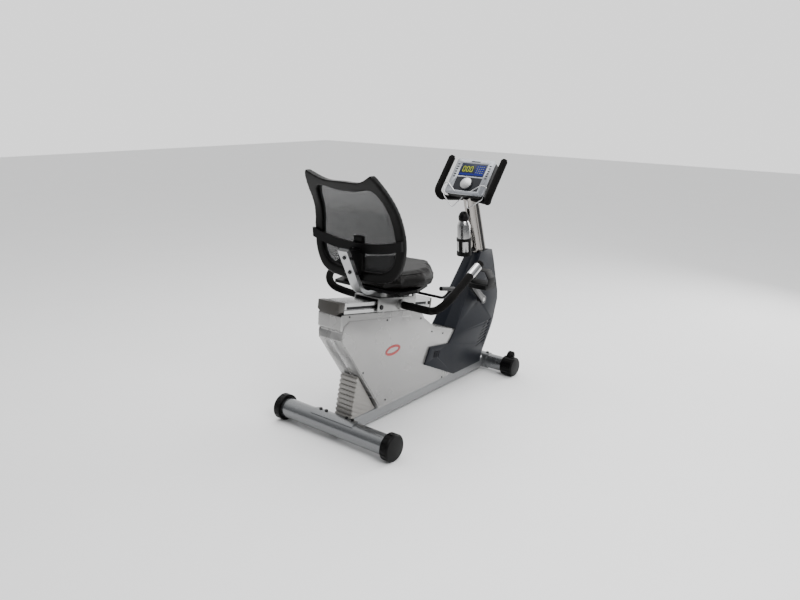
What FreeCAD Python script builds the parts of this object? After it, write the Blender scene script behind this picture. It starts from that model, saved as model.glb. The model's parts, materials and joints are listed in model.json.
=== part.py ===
import FreeCAD, Part
import math
import os
import Sketcher
from FreeCAD import Placement, Rotation, Vector

# Recumbent exercise bike. X runs forward to the console, Y to the rider's left, Z up.
# Outlines and places are measured ahead of the rear stabilizer's axis and above the floor.
# One shift then puts the origin on the floor in the middle of the footprint.

doc = FreeCAD.newDocument("ExerciseBike")
sheet = doc.addObject("Spreadsheet::Sheet", "Sizes")

SIZES = {
    "overall_length": 1240, "rear_width": 650, "front_width": 444,
    # stabilizers and their end caps
    "rear_tube_radius": 44, "rear_cap_radius": 58, "rear_axis_height": 57,
    "front_tube_radius": 38, "front_cap_radius": 50, "front_axis_height": 49,
    "tube_wall": 2.5, "cap_length": 38, "front_cap_length": 66, "cap_face": 10, "cap_chamfer": 6,
    "rib_count": 16, "rib_depth": 2.5, "rib_width": 5,
    "saddle_half_width": 118, "saddle_thick": 5, "saddle_start": 37, "saddle_end": 128,
    "sleeve_half_width": 62, "sleeve_thick": 4,
    # base beam
    "beam_width": 80, "beam_height": 66, "beam_clearance": 15, "beam_round": 14, "beam_wall": 3,
    # transport wheels
    "wheel_radius": 27, "wheel_width": 20, "wheel_pin_radius": 4, "wheel_forward": 22,
    "wheel_rise": 46, "wheel_gap": 2, "wheel_inset": 44, "ear_radius": 9, "ear_thick": 5, "running_fit": 0.05,
    # seat rail and its supports
    "rail_slope": 9.4, "rail_length": 590, "rail_width": 112, "rail_height": 44, "rail_top": 604,
    "groove_height": 16, "groove_depth": 7, "rail_void_inner": 6, "rail_void_outer": 45,
    "rail_skin": 6, "rail_cap_length": 36, "rail_cap_overhang": 2, "front_cap_plate": 14,
    "post_width": 50, "post_depth": 44, "rear_post_foot": 240, "rear_post_head": 62,
    "front_post_foot": 630, "front_post_head": 470, "post_plate": 6, "post_wall": 3, "post_plate_length": 90,
    # seat carriage
    "carriage_start": 198, "carriage_length": 264, "carriage_plate": 5, "carriage_lift": 10,
    "carriage_side_gap": 6, "glide_length": 44, "glide_gap": 0.3, "glide_inset": 40,
    "boss_radius": 23, "boss_length": 16, "boss_station": 341, "boss_height": 531,
    "riser_length": 40, "riser_width": 96, "riser_rear": 232, "riser_front": 392, "deck_height": 598,
    "pan_thick": 14, "strap_bar_thick": 18, "strap_bar_width": 50,
    # seat
    "cushion_thick": 72, "cushion_front": 548, "cushion_nose": 80, "cushion_hip": 405,
    "cushion_hip_width": 182, "cushion_side": 290, "cushion_side_width": 214,
    "cushion_back": 178, "cushion_back_width": 196, "pan_inset": 16,
    # backrest
    "back_thick": 30, "back_low": 664, "back_half_width": 240, "back_tip_height": 1118,
    "back_tip_half": 178, "back_rim": 42, "back_dip": 1082, "mesh_thick": 2.4,
    "band_height": 40, "band_thick": 12, "band_end": 842, "band_mid": 806,
    "mount_half_width": 26, "mount_low": 690, "mount_high": 800,
    # side handles
    "handle_tube_radius": 12.5, "handle_foam_radius": 17, "sensor_length": 66, "sensor_radius": 18,
    "handle_tip": 16,
    # crank, pulley, flywheel
    "crank_station": 1000, "crank_height": 420, "crank_length": 170, "crank_angle": 139,
    "axle_radius": 10, "arm_inner": 76, "arm_thick": 15, "arm_boss_radius": 22, "arm_eye_radius": 15,
    "pulley_radius": 98, "pulley_width": 14, "belt_plane": 15, "belt_thick": 3, "belt_width": 11,
    "bearing_radius": 20, "bearing_width": 12, "frame_plate": 5,
    "flywheel_station": 792, "flywheel_height": 198, "flywheel_radius": 98, "flywheel_width": 24,
    "small_pulley_radius": 19, "fly_axle_radius": 6, "fly_plane": -9, "idler_radius": 15,
    "magnet_gap": 4, "magnet_thick": 9, "magnet_width": 34, "magnet_start": 140, "magnet_end": 196,
    "magnet_pivot_reach": 136, "magnet_pivot_angle": 205,
    # pedals
    "pedal_inner": 106, "pedal_width": 96, "pedal_length": 96, "pedal_height": 30,
    "spindle_radius": 6, "strap_rise": 76, "strap_thick": 3, "strap_width": 58,
    # shrouds
    "shroud_half": 62, "panel_rise": 4, "shroud_wall": 3, "shroud_round": 8, "shroud_front": 800, "rail_gap": 3,
    "shroud_rear": 30, "cover_half": 73, "cover_top_half": 43, "cover_taper_start": 285,
    "cover_gap": 0.5,
    # mast
    "mast_depth": 90, "mast_width": 52, "mast_lean": 19.4, "mast_foot": 1094, "mast_foot_height": 590,
    "mast_length": 450, "mast_wall": 3.5, "mast_groove": 3,
    # console
    "console_station": 900, "console_height": 952, "console_tilt": 52.8, "console_width": 216,
    "console_face_height": 198, "bezel_thick": 8, "housing_thick": 34, "housing_wall": 3,
    "screen_width": 146, "screen_height": 72, "screen_low": 101, "panel_low": 20,
    "panel_height": 74, "window_depth": 3, "dial_radius": 30, "dial_thick": 12, "dial_stem": 4,
    "dial_up": 56, "board_width": 170, "board_height": 150, "board_thick": 1.6,
    # upper handlebar and page holder
    "bar_half": 150, "bar_radius": 12.5, "grip_radius": 17, "bar_top_station": 1028,
    "bar_top_height": 1116, "bar_low_station": 887, "bar_low_height": 936, "bar_turn_half": 118,
    "grip_inset": 6, "bar_turn_back": 55, "bar_cross_rise": 15, "bar_bend": 30, "bar_wall": 2, "wire_radius": 2.2,
    # bottle and cage
    "bottle_radius": 32.5, "bottle_station": 940, "bottle_base": 652, "bottle_lean": 6,
    "bottle_length": 172, "bottle_neck": 22, "bottle_cap_radius": 25, "bottle_cap_height": 44,
    "cage_gap": 0.8, "cage_wall": 4, "cage_height": 82,
    # fasteners and small parts
    "bolt_radius": 8, "bolt_head": 5, "bolt_sink": 2, "screw_radius": 4, "screw_head": 1.6,
    "motor_length": 60, "motor_width": 46, "motor_height": 44, "motor_station": 330,
}

for row, (name, amount) in enumerate(SIZES.items(), start=1):
    sheet.set(f"A{row}", name)
    sheet.set(f"B{row}", str(amount))
    sheet.setAlias(f"B{row}", name)
doc.recompute()


class Size:
    """A number together with the spreadsheet expression that gives it."""

    def __init__(self, value, text):
        self.value = value
        self.text = text

    def __add__(self, other):
        return Size(self.value + value(other), f"({self.text} + {text(other)})")

    def __radd__(self, other):
        return Size(value(other) + self.value, f"({text(other)} + {self.text})")

    def __sub__(self, other):
        return Size(self.value - value(other), f"({self.text} - {text(other)})")

    def __rsub__(self, other):
        return Size(value(other) - self.value, f"({text(other)} - {self.text})")

    def __mul__(self, other):
        return Size(self.value * value(other), f"({self.text} * {text(other)})")

    def __rmul__(self, other):
        return Size(value(other) * self.value, f"({text(other)} * {self.text})")

    def __truediv__(self, other):
        return Size(self.value / value(other), f"({self.text} / {text(other)})")

    def __neg__(self):
        return Size(-self.value, f"(-{self.text})")


def value(amount):
    return amount.value if isinstance(amount, Size) else float(amount)


def text(amount):
    return amount.text if isinstance(amount, Size) else repr(float(amount))


class Cells:
    """The sheet's cells, read by their aliases."""

    def __getattr__(self, name):
        return Size(float(sheet.get(name)), f"Sizes.{name}")


S = Cells()
shift = S.overall_length / 2 - S.rear_cap_radius
front_station = S.overall_length - S.rear_cap_radius - S.front_cap_radius
beam_top = S.beam_clearance + S.beam_height
parts = []


def bind(thing, prop, amount):
    setattr(thing, prop, value(amount))
    if isinstance(amount, Size):
        thing.setExpression(prop, amount.text)


stations = {}


def place(thing, x=0, y=0, z=0, axis=None, angle=0):
    turn = Rotation(axis, value(angle)) if axis else Rotation()
    thing.Placement = Placement(Vector(value(x), value(y), value(z)), turn)
    for key, amount in (("x", x), ("y", y), ("z", z)):
        if isinstance(amount, Size):
            thing.setExpression(f".Placement.Base.{key}", amount.text)
    if isinstance(angle, Size):
        thing.setExpression(".Placement.Rotation.Angle", angle.text)
    stations[thing.Name] = x
    return thing


def node(label, thing):
    """Names a finished sub-part and moves it from station to part coordinates."""
    thing.Label = label
    moved = stations.get(thing.Name, 0) - shift
    thing.Placement.Base.x = moved.value
    thing.setExpression(".Placement.Base.x", moved.text)
    parts.append(thing)
    return thing


def cylinder(name, radius, length, x=0, y=0, z=0, along="Y"):
    """A cylinder whose first end is at x, y, z and which runs along one axis."""
    rod = doc.addObject("Part::Cylinder", name)
    bind(rod, "Radius", radius)
    bind(rod, "Height", length)
    turns = {"X": (Vector(0, 1, 0), 90), "Y": (Vector(1, 0, 0), -90), "Z": (None, 0)}
    axis, angle = turns[along]
    return place(rod, x, y, z, axis, angle)


def box(name, length, width, height, x=0, y=0, z=0):
    block = doc.addObject("Part::Box", name)
    bind(block, "Length", length)
    bind(block, "Width", width)
    bind(block, "Height", height)
    return place(block, x, y, z)


def cut(name, base, *tools):
    tool = tools[0] if len(tools) == 1 else fuse(name + "_tool", *tools)
    result = doc.addObject("Part::Cut", name)
    result.Base = base
    result.Tool = tool
    return result


def fuse(name, *shapes):
    result = doc.addObject("Part::MultiFuse", name)
    result.Shapes = list(shapes)
    return result


def common(name, first, second):
    result = doc.addObject("Part::Common", name)
    result.Base = first
    result.Tool = second
    return result


def group(name, *shapes):
    """Separate solids that share one node."""
    result = doc.addObject("Part::Compound", name)
    result.Links = list(shapes)
    return result


def mirrored(name, source, normal=Vector(0, 1, 0)):
    result = doc.addObject("Part::Mirroring", name)
    result.Source = source
    result.Normal = normal
    return result


def pair(name, source):
    return group(name, source, mirrored(name + "_left", source))


def plane_of(body, role):
    return next(item for item in body.Origin.OriginFeatures if item.Role == role)


def sketch_polygon(body, name, role, outline):
    """A closed polygon whose corners are bound to the sheet."""
    sketch = body.newObject("Sketcher::SketchObject", name)
    sketch.AttachmentSupport = (plane_of(body, role), [""])
    sketch.MapMode = "FlatFace"
    corners = [Vector(value(a), value(b), 0) for a, b in outline]
    count = len(corners)
    for i in range(count):
        sketch.addGeometry(Part.LineSegment(corners[i], corners[(i + 1) % count]), False)
    for i in range(count):
        sketch.addConstraint(Sketcher.Constraint("Coincident", i, 2, (i + 1) % count, 1))
    for i, corner in enumerate(outline):
        for kind, amount in zip(("DistanceX", "DistanceY"), corner):
            index = sketch.addConstraint(Sketcher.Constraint(kind, -1, 1, i, 1, value(amount)))
            if isinstance(amount, Size):
                sketch.setExpression(f"Constraints[{index}]", amount.text)
    return sketch


def extrude(name, role, outline, length, x=0, y=0, z=0, both=False, axis=None, angle=0, round_by=None):
    """A body padded from a polygon: XZ_Plane pads along +Y, YZ_Plane along +X, XY_Plane along +Z."""
    body = doc.addObject("PartDesign::Body", name)
    sketch = sketch_polygon(body, name + "_sketch", role, outline)
    pad = body.newObject("PartDesign::Pad", name + "_pad")
    pad.Profile = sketch
    bind(pad, "Length", length)
    pad.Midplane = both
    pad.Reversed = role == "XZ_Plane"
    if round_by is not None:
        doc.recompute()
        round_edges(body, pad, {"XZ_Plane": 1, "YZ_Plane": 0, "XY_Plane": 2}[role], round_by)
    return place(body, x, y, z, axis, angle)


def round_edges(body, base, along, radius):
    """Rounds a pad's edges that run along its own direction."""
    names = []
    for i, edge in enumerate(base.Shape.Edges, start=1):
        first, last = edge.Vertexes[0].Point, edge.Vertexes[-1].Point
        run = [abs(last[k] - first[k]) for k in range(3)]
        if run[along] > 0.9 * max(sum(run), 1e-6):
            names.append(f"Edge{i}")
    fillet = body.newObject("PartDesign::Fillet", body.Name + "_round")
    fillet.Base = (base, names)
    bind(fillet, "Radius", radius)
    body.Tip = fillet


def revolve(name, outline, x=0, y=0, z=0, turn=None, angle=0):
    """A solid of revolution about its own Z axis, from a polygon of radius and height."""
    body = doc.addObject("PartDesign::Body", name)
    sketch = sketch_polygon(body, name + "_sketch", "XZ_Plane", outline)
    feature = body.newObject("PartDesign::Revolution", name + "_revolution")
    feature.Profile = sketch
    feature.ReferenceAxis = (plane_of(body, "Z_Axis"), [""])
    feature.Angle = 360
    return place(body, x, y, z, turn, angle)


def rectangle(x1, z1, x2, z2):
    return [(x1, z1), (x2, z1), (x2, z2), (x1, z2)]


def bent_path(points, radius):
    """Straight runs joined by arcs that are tangent to them."""
    corners = [Vector(*(value(c) for c in point)) for point in points]
    edges = []
    start = corners[0]
    for before, corner, after in zip(corners, corners[1:], corners[2:]):
        back = (before - corner).normalize()
        ahead = (after - corner).normalize()
        half = back.getAngle(ahead) / 2
        reach = radius / math.tan(half)
        middle = corner + (back + ahead).normalize() * (radius / math.sin(half) - radius)
        entry, leave = corner + back * reach, corner + ahead * reach
        edges.append(Part.LineSegment(start, entry).toShape())
        edges.append(Part.Arc(entry, middle, leave).toShape())
        start = leave
    edges.append(Part.LineSegment(start, corners[-1]).toShape())
    return Part.Wire(edges)


def swept(path, radius, inner=0):
    start = path.Edges[0]
    direction = start.tangentAt(start.FirstParameter)
    origin = start.valueAt(start.FirstParameter)

    def tube(size):
        ring = Part.Wire(Part.makeCircle(size, origin, direction))
        return path.makePipeShell([ring], True, False)

    return tube(radius).cut(tube(inner)) if inner else tube(radius)


def feature(name, shape):
    """A solid that a sweep or a loft makes, so its sizes are read from the sheet here."""
    thing = doc.addObject("Part::Feature", name)
    thing.Shape = shape
    return thing


# ---------------------------------------------------------------- base


def rear_stabilizer():
    half = S.rear_width / 2 - S.cap_face
    tube = cylinder("rear_tube", S.rear_tube_radius, 2 * half, 0, -half, S.rear_axis_height)
    bore = cylinder("rear_bore", S.rear_tube_radius - S.tube_wall, 2 * half + 2, 0, -half - 1,
                    S.rear_axis_height)
    node("rear_stabilizer", cut("rear_stabilizer_cut", tube, bore))


def end_cap(name, station, height, radius, tube_radius, half_width, length):
    """A moulded cap on the tube's end, with ribs round it and a flat sole on the floor."""
    face = S.cap_chamfer
    inner_end = half_width - length
    outline = [(0, half_width), (radius - face, half_width), (radius, half_width - face),
               (radius, inner_end + 2), (radius - 2, inner_end), (0, inner_end)]
    drum = revolve(name + "_drum", outline, station, 0, height, Vector(1, 0, 0), 90)
    bore = cylinder(name + "_bore", tube_radius, length, station, -half_width + S.cap_face, height)
    floor = box(name + "_floor", 4 * radius, length + 2, radius, station - 2 * radius,
                -half_width - 1, -radius)
    slots = []
    count = int(value(S.rib_count))
    for i in range(count):
        angle = 360 / count * (i + 0.5)
        if 60 <= angle <= 120:
            continue
        slot = doc.addObject("Part::Box", f"{name}_slot{i}")
        bind(slot, "Length", S.rib_depth * 2)
        bind(slot, "Width", length - 2 * face)
        bind(slot, "Height", S.rib_width)
        turn = Rotation(Vector(0, 1, 0), angle)
        radial = turn.multVec(Vector(value(radius - S.rib_depth), 0, 0))
        corner = turn.multVec(Vector(0, 0, -value(S.rib_width) / 2))
        slot.Placement = Placement(Vector(value(station), -value(half_width - face), value(height))
                                   + radial + corner, turn)
        slots.append(slot)
    return drum, [bore, floor] + slots


def rear_end_caps():
    drum, tools = end_cap("rear_cap", 0, S.rear_axis_height, S.rear_cap_radius,
                          S.rear_tube_radius, S.rear_width / 2, S.cap_length)
    node("rear_end_caps", pair("rear_caps", cut("rear_cap_one", drum, *tools)))


def front_end_caps():
    """Each front cap plugs the tube and holds a transport wheel in a slot."""
    half = S.front_width / 2
    drum, tools = end_cap("front_cap", front_station, S.front_axis_height, S.front_cap_radius,
                          S.front_tube_radius, half, S.front_cap_length)
    slot_start = half - S.wheel_inset - S.wheel_width / 2 - S.wheel_gap
    slot = cylinder("wheel_slot", S.wheel_radius + S.wheel_gap, S.wheel_width + 2 * S.wheel_gap,
                    front_station + S.wheel_forward, -slot_start - S.wheel_width - 2 * S.wheel_gap,
                    S.front_axis_height + S.wheel_rise)
    tube_end = half - S.front_cap_length + 6
    bore = cylinder("front_cap_seat", S.front_tube_radius, 8, front_station, -tube_end,
                    S.front_axis_height)
    body = cut("front_cap_body", drum, bore, slot, *tools[1:])
    pin_x, pin_z = front_station + S.wheel_forward, S.front_axis_height + S.wheel_rise
    gap = S.wheel_width + 2 * S.wheel_gap
    pin = cylinder("wheel_pin", S.wheel_pin_radius, gap + S.ear_thick, pin_x,
                   -slot_start - gap - S.ear_thick / 2, pin_z)
    pieces = [body, pin]
    for i, y in enumerate((-slot_start - gap - S.ear_thick, -slot_start)):
        pieces.append(cylinder(f"wheel_ear{i}", S.ear_radius, S.ear_thick, pin_x, y, pin_z))
        root = rectangle(pin_x - S.ear_radius, pin_z - S.wheel_rise, pin_x + S.ear_radius, pin_z)
        pieces.append(extrude(f"wheel_ear_root{i}", "XZ_Plane", root, S.ear_thick, 0, y))
    pieces = fuse("front_cap_one", *pieces)
    inside = cylinder("front_cap_clear", S.front_tube_radius, tube_end + 1, front_station, -tube_end,
                      S.front_axis_height)
    node("front_end_caps", pair("front_caps", cut("front_cap_trim", pieces, inside)))


def transport_wheels():
    middle = S.front_width / 2 - S.wheel_inset
    for side, label in ((-1, "wheel_right"), (1, "wheel_left")):
        y = middle * side - S.wheel_width / 2
        spot = (front_station + S.wheel_forward, y, S.front_axis_height + S.wheel_rise)
        tyre = cylinder(label + "_tyre", S.wheel_radius, S.wheel_width, *spot)
        bore = cylinder(label + "_bore", S.wheel_pin_radius + S.running_fit, S.wheel_width, *spot)
        node(label, cut(label + "_cut", tyre, bore))


def front_stabilizer():
    half = S.front_width / 2 - S.front_cap_length + 6
    tube = cylinder("front_tube", S.front_tube_radius, 2 * half, front_station, -half, S.front_axis_height)
    bore = cylinder("front_bore", S.front_tube_radius - S.tube_wall, 2 * half + 2, front_station,
                    -half - 1, S.front_axis_height)
    sleeve = cylinder("sleeve_outer", S.front_tube_radius + S.sleeve_thick, 2 * S.sleeve_half_width,
                      front_station, -S.sleeve_half_width, S.front_axis_height)
    node("front_stabilizer", cut("front_stabilizer_cut", fuse("front_stabilizer_fuse", tube, sleeve), bore))


def base_beam():
    """A rounded box tube coped onto both stabilizers."""
    half = S.beam_width / 2
    shell = extrude("beam_outer", "YZ_Plane", rectangle(-half, S.beam_clearance, half, beam_top),
                    front_station, round_by=S.beam_round)
    wall = S.beam_wall
    hollow = extrude("beam_inner", "YZ_Plane",
                     rectangle(wall - half, S.beam_clearance + wall, half - wall, beam_top - wall),
                     front_station, round_by=S.beam_round - wall)
    cope_rear = cylinder("cope_rear", S.rear_tube_radius, 2 * S.beam_width, 0, -S.beam_width,
                         S.rear_axis_height)
    behind = box("cope_behind", S.rear_tube_radius * 0.6, 2 * S.beam_width, 2 * S.rear_axis_height,
                 0, -S.beam_width, 0)
    ahead = box("cope_ahead", S.front_tube_radius * 0.6 + 2, 2 * S.beam_width, 2 * S.rear_axis_height,
                front_station - S.front_tube_radius * 0.6, -S.beam_width, 0)
    cope_front = cylinder("cope_front", S.front_tube_radius + S.sleeve_thick, 2 * S.beam_width,
                          front_station, -S.beam_width, S.front_axis_height)
    node("base_beam", cut("beam_cut", shell, hollow, cope_rear, behind, ahead, cope_front))


def rear_saddle():
    """A curved plate over the rear tube, from the beam's top round to the back."""
    outer = cylinder("saddle_outer", S.rear_tube_radius + S.saddle_thick, 2 * S.saddle_half_width,
                     0, -S.saddle_half_width, S.rear_axis_height)
    inner = cylinder("saddle_inner", S.rear_tube_radius, 2 * S.saddle_half_width,
                     0, -S.saddle_half_width, S.rear_axis_height)
    reach = 2 * S.rear_cap_radius.value
    first, last = math.radians(S.saddle_start.value), math.radians(S.saddle_end.value)
    height = S.rear_axis_height.value
    fan = [(0.0, height), (reach * math.cos(first), height + reach * math.sin(first)),
           (0.0, height + reach), (reach * math.cos(last), height + reach * math.sin(last))]
    wedge = extrude("saddle_wedge", "XZ_Plane", fan, 2 * S.saddle_half_width, 0, -S.saddle_half_width)
    node("rear_saddle", common("saddle_common", cut("saddle_ring", outer, inner), wedge))


def bolt_row(name, station, tube_station, height, drum_radius, offsets):
    """Hexagon heads seated on top of a round tube."""
    heads = []
    for i, y in enumerate(offsets):
        head = doc.addObject("Part::Prism", f"{name}{i}")
        head.Polygon = 6
        bind(head, "Circumradius", S.bolt_radius)
        bind(head, "Height", S.bolt_head + S.bolt_sink)
        heads.append(place(head, station, y, height + drum_radius - S.bolt_sink))
    drum = cylinder(name + "_drum", drum_radius, S.rear_width, tube_station, -S.rear_width / 2, height)
    return cut(name + "s", group(name + "_heads", *heads), drum)


# ---------------------------------------------------------------- seat rail and supports

rail_turn = (Vector(0, 1, 0), S.rail_slope)
slope = math.radians(S.rail_slope.value)


def on_rail(distance, below=0.0):
    """Station and height at a distance along the rail and below its top surface."""
    return (distance * math.cos(slope) - below * math.sin(slope),
            S.rail_top.value - distance * math.sin(slope) - below * math.cos(slope))


def on_slope(name, outline, length, start, side=0):
    """A YZ outline, measured from the rail's top, extruded along the rail's slope."""
    body = extrude(name, "YZ_Plane", outline, length)
    x, z = on_rail(value(start))
    return place(body, x, side, z, *rail_turn)


def rail_outline(grow=0.0):
    half = S.rail_width / 2 + grow
    deep = S.rail_width / 2 - S.groove_depth + grow
    top = (S.rail_height - S.groove_height) / 2 - grow
    low = top + S.groove_height + 2 * grow
    base = S.rail_height + grow
    right = [(half, -base), (half, -low), (deep, -low), (deep, -top), (half, -top), (half, grow + 0.0)]
    left = [(-half, grow + 0.0), (-half, -top), (-deep, -top), (-deep, -low), (-half, -low), (-half, -base)]
    return right + left


def seat_rail():
    profile = on_slope("rail_profile", rail_outline(), S.rail_length, 0)
    voids = []
    for side in (-1, 1):
        inner, outer = S.rail_void_inner * side, S.rail_void_outer * side
        hole = rectangle(inner, -(S.rail_height - S.rail_skin), outer, -S.rail_skin)
        voids.append(on_slope(f"rail_void{side + 1}", hole, S.rail_length + 2, -1))
    node("seat_rail", cut("rail_cut", profile, *voids))


def rail_end_caps():
    """A thick rear bumper with notched lower corners, and a thin front plate."""
    half = S.rail_width / 2 + S.rail_cap_overhang
    low = S.rail_height + 6
    notch = 14
    shape = [(-half, 2.0), (half, 2.0), (half, -(low - notch)), (half - notch, -(low - notch / 3)),
             (half - notch, -low), (notch - half, -low), (notch - half, -(low - notch / 3)),
             (-half, -(low - notch))]
    rear = on_slope("rail_cap_rear", shape, S.rail_cap_length, -S.rail_cap_length)
    plate = rectangle(-S.rail_width / 2, -S.rail_height, S.rail_width / 2, 0)
    front = on_slope("rail_cap_front", plate, S.front_cap_plate, S.rail_length)
    node("rail_end_caps", group("rail_caps", rear, front))


def rail_post():
    """Two welded legs with a plate under the rail."""
    legs = []
    length = S.rail_length.value
    for name, foot, head, spot in (("rear", S.rear_post_foot, S.rear_post_head, 70.0),
                                   ("front", S.front_post_foot, S.front_post_head, 0.79 * length)):
        _, top = on_rail(spot, S.rail_height.value)
        lean = [(foot - S.post_depth / 2, beam_top), (foot + S.post_depth / 2, beam_top),
                (head + S.post_depth / 2, top + 20), (head - S.post_depth / 2, top + 20)]
        leg = extrude(name + "_leg", "XZ_Plane", lean, S.post_width, 0, -S.post_width / 2)
        wall = S.post_wall
        core = [(foot - S.post_depth / 2 + wall, beam_top - 1), (foot + S.post_depth / 2 - wall, beam_top - 1),
                (head + S.post_depth / 2 - wall, top + 21), (head - S.post_depth / 2 + wall, top + 21)]
        hollow = extrude(name + "_core", "XZ_Plane", core, S.post_width - 2 * wall, 0, wall - S.post_width / 2)
        legs.append(cut(name + "_tube", leg, hollow))
        plate = rectangle(-S.post_width / 2 - 8, -S.rail_height - S.post_plate, S.post_width / 2 + 8,
                          -S.rail_height)
        start = head.value / math.cos(slope) - S.post_plate_length.value / 2
        legs.append(on_slope(name + "_plate", plate, S.post_plate_length, start))
    above = rectangle(-S.rail_width, -S.rail_height, S.rail_width, 2 * S.rail_height)
    trim = on_slope("post_trim", above, 2 * S.rail_length, -200)
    node("rail_post", cut("rail_post_cut", fuse("rail_post_fuse", *legs), trim))


# ---------------------------------------------------------------- shrouds


def under_rail(station, gap):
    """Height of a line that runs below the rail's underside."""
    return S.rail_top.value - (station * math.sin(slope) + value(S.rail_height)) / math.cos(slope) - gap


def shroud_outline(inset=0.0):
    rear = -S.shroud_rear.value
    gap = S.rail_gap.value + inset
    floor = beam_top.value + 0.5
    return [(rear + inset, under_rail(rear, gap)), (rear - 4 + inset, 500.0), (rear + 11 + inset, 485.0),
            (rear - 2 + inset, 452.0 + inset / 3), (197.0 + 1.1 * inset, 111.0), (207.0 + 1.1 * inset, floor),
            (S.shroud_front.value, floor), (S.shroud_front.value, 306.0 - inset),
            (745.0 - inset / 4, 321.0 - inset), (612.0 - inset / 2, 364.0 - inset),
            (532.0 - inset, 424.0 - inset), (500.0 - inset, under_rail(500.0, gap))]


def panel_outline():
    rear = -S.shroud_rear.value
    top = 30
    return [(rear + 50, under_rail(rear + 50, top)), (rear + 16, under_rail(rear + 50, top) - 14),
            (rear + 3, under_rail(rear + 50, top) - 48), (rear + 4, 447.0), (211.0, 100.0), (770.0, 94.0),
            (770.0, 308.0), (742.0, 314.0), (607.0, 352.0), (524.0, 415.0), (486.0, under_rail(486.0, top))]


def shroud_half(side):
    name = "shroud_" + ("right" if side < 0 else "left")
    outer = extrude(name + "_outer", "XZ_Plane", shroud_outline(), S.shroud_half, round_by=S.shroud_round)
    panel = extrude(name + "_panel", "XZ_Plane", panel_outline(), S.panel_rise + 1, 0, S.shroud_half - 1)
    inner = extrude(name + "_inner", "XZ_Plane", shroud_outline(S.shroud_wall.value),
                    S.shroud_half - S.shroud_wall)
    front = box(name + "_front", 20, S.shroud_half - S.shroud_wall, 210, S.shroud_front - 10, 0, beam_top + 2)
    bottom = box(name + "_bottom", 580, S.post_width / 2 + 12, 20, 212, 0, beam_top - 8)
    top = S.post_width / 2 + 12
    slot = box(name + "_slot", 526, top, 150, -8, 0, 440)
    cap_half = S.rail_width / 2 + S.rail_cap_overhang + S.rail_gap
    cap_low = -(S.rail_height + 6 + S.rail_gap)
    cap_space = on_slope(name + "_cap_space", rectangle(-cap_half, cap_low, cap_half, 40.0),
                         S.rail_cap_length + 2 * S.rail_gap, -S.rail_cap_length - S.rail_gap)
    half = cut(name + "_cut", fuse(name + "_solid", outer, panel), inner, front, bottom, slot, cap_space)
    if side < 0:
        half = mirrored(name + "_mirror", half)
    node(name, half)


def inside(outline, x, z):
    """Whether a point lies inside a polygon."""
    hits = 0
    for (x1, z1), (x2, z2) in zip(outline, outline[1:] + outline[:1]):
        x1, z1, x2, z2 = (value(amount) for amount in (x1, z1, x2, z2))
        if (z1 > z) != (z2 > z) and x < x1 + (z - z1) * (x2 - x1) / (z2 - z1):
            hits += 1
    return hits % 2 == 1


def frame_screws():
    """Hexagon heads on the rear saddle and front sleeve, and screw heads on the shroud."""
    heads = []
    spots = [(20, 545), (257, 478), (500, 430), (590, 345), (680, 315), (100, 282), (250, 112), (690, 86)]
    for i, (x, z) in enumerate(spots):
        proud = S.shroud_half + (S.panel_rise if inside(panel_outline(), x, z) else 0)
        heads.append(cylinder(f"screw{i}", S.screw_radius, S.screw_head, x, proud, z))
    saddle = bolt_row("saddle_bolt", 6, 0, S.rear_axis_height, S.rear_tube_radius + S.saddle_thick,
                      (-90, -58, 58, 90))
    sleeve = bolt_row("sleeve_bolt", front_station, front_station, S.front_axis_height,
                      S.front_tube_radius + S.sleeve_thick, (-50, 50))
    node("frame_screws", group("frame_screw_group", pair("screws", group("screws_side", *heads)), saddle,
                               sleeve))


def strut_cover():
    """A ribbed gaiter between the beam and the shroud's slanted back."""
    floor = beam_top.value + 0.4
    foot, top, toe = (50.0, floor), (90.0, 262.0), (202.0, floor)
    steps = 9
    rear = []
    for i in range(steps):
        low, high = i / steps, (i + 0.6) / steps
        for along, out in ((low, 0.0), (low, -6.0), (high, -6.0), (high, 0.0)):
            rear.append((foot[0] + (top[0] - foot[0]) * along + out, foot[1] + (top[1] - foot[1]) * along))
    half = S.post_width / 2 + 21
    solid = extrude("strut_solid", "XZ_Plane", [toe, top] + rear[::-1], 2 * half, 0, -half)
    inside = [(foot[0] + 6, floor - 5), (toe[0] - 14, floor - 5), (top[0] - 1, top[1] - 12)]
    hollow = extrude("strut_hollow", "XZ_Plane", inside, 2 * half - 8, 0, 4 - half)
    grooves = []
    for i in range(8):
        for word, y in (("right", -half - 1), ("left", half - 1.5)):
            bar = box(f"strut_groove_{word}{i}", 240, 2.5, 3)
            grooves.append(place(bar, 44 + i * 3, y, 96 + i * 20, Vector(0, 1, 0), 28))
    saddle = cylinder("strut_saddle", S.rear_tube_radius + S.saddle_thick + 1, 4 * half, 0, -2 * half,
                      S.rear_axis_height)
    node("strut_cover", cut("strut_cut", solid, hollow, saddle, *grooves))


def cover_outline(inset=0.0):
    floor = beam_top.value + 0.5
    return [(1016.0 - inset, floor), (774.0 + inset / 2, floor), (531.0 + inset, 197.0), (574.0 + inset, 273.0 - inset),
            (728.0 + inset, 253.0 - inset), (783.0 + inset, 312.0), (1014.0 + 1.2 * inset, 632.0 - inset),
            (1030.0, 652.0 - inset), (1136.0 - inset, 652.0 - inset), (1152.0 - inset, 586.0),
            (1180.0 - inset, 427.0), (1177.0 - inset, 385.0), (1112.0 - inset, 249.0), (1034.0 - inset, 131.0)]


def cover_side(name, half, top_half):
    """The block outside the cover's tapering side."""
    start = S.cover_taper_start
    outline = [(half, start), (half + 40, start), (half + 40, 700.0), (top_half - 5.6, 700.0)]
    return extrude(name, "YZ_Plane", outline, 800, 480)


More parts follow.
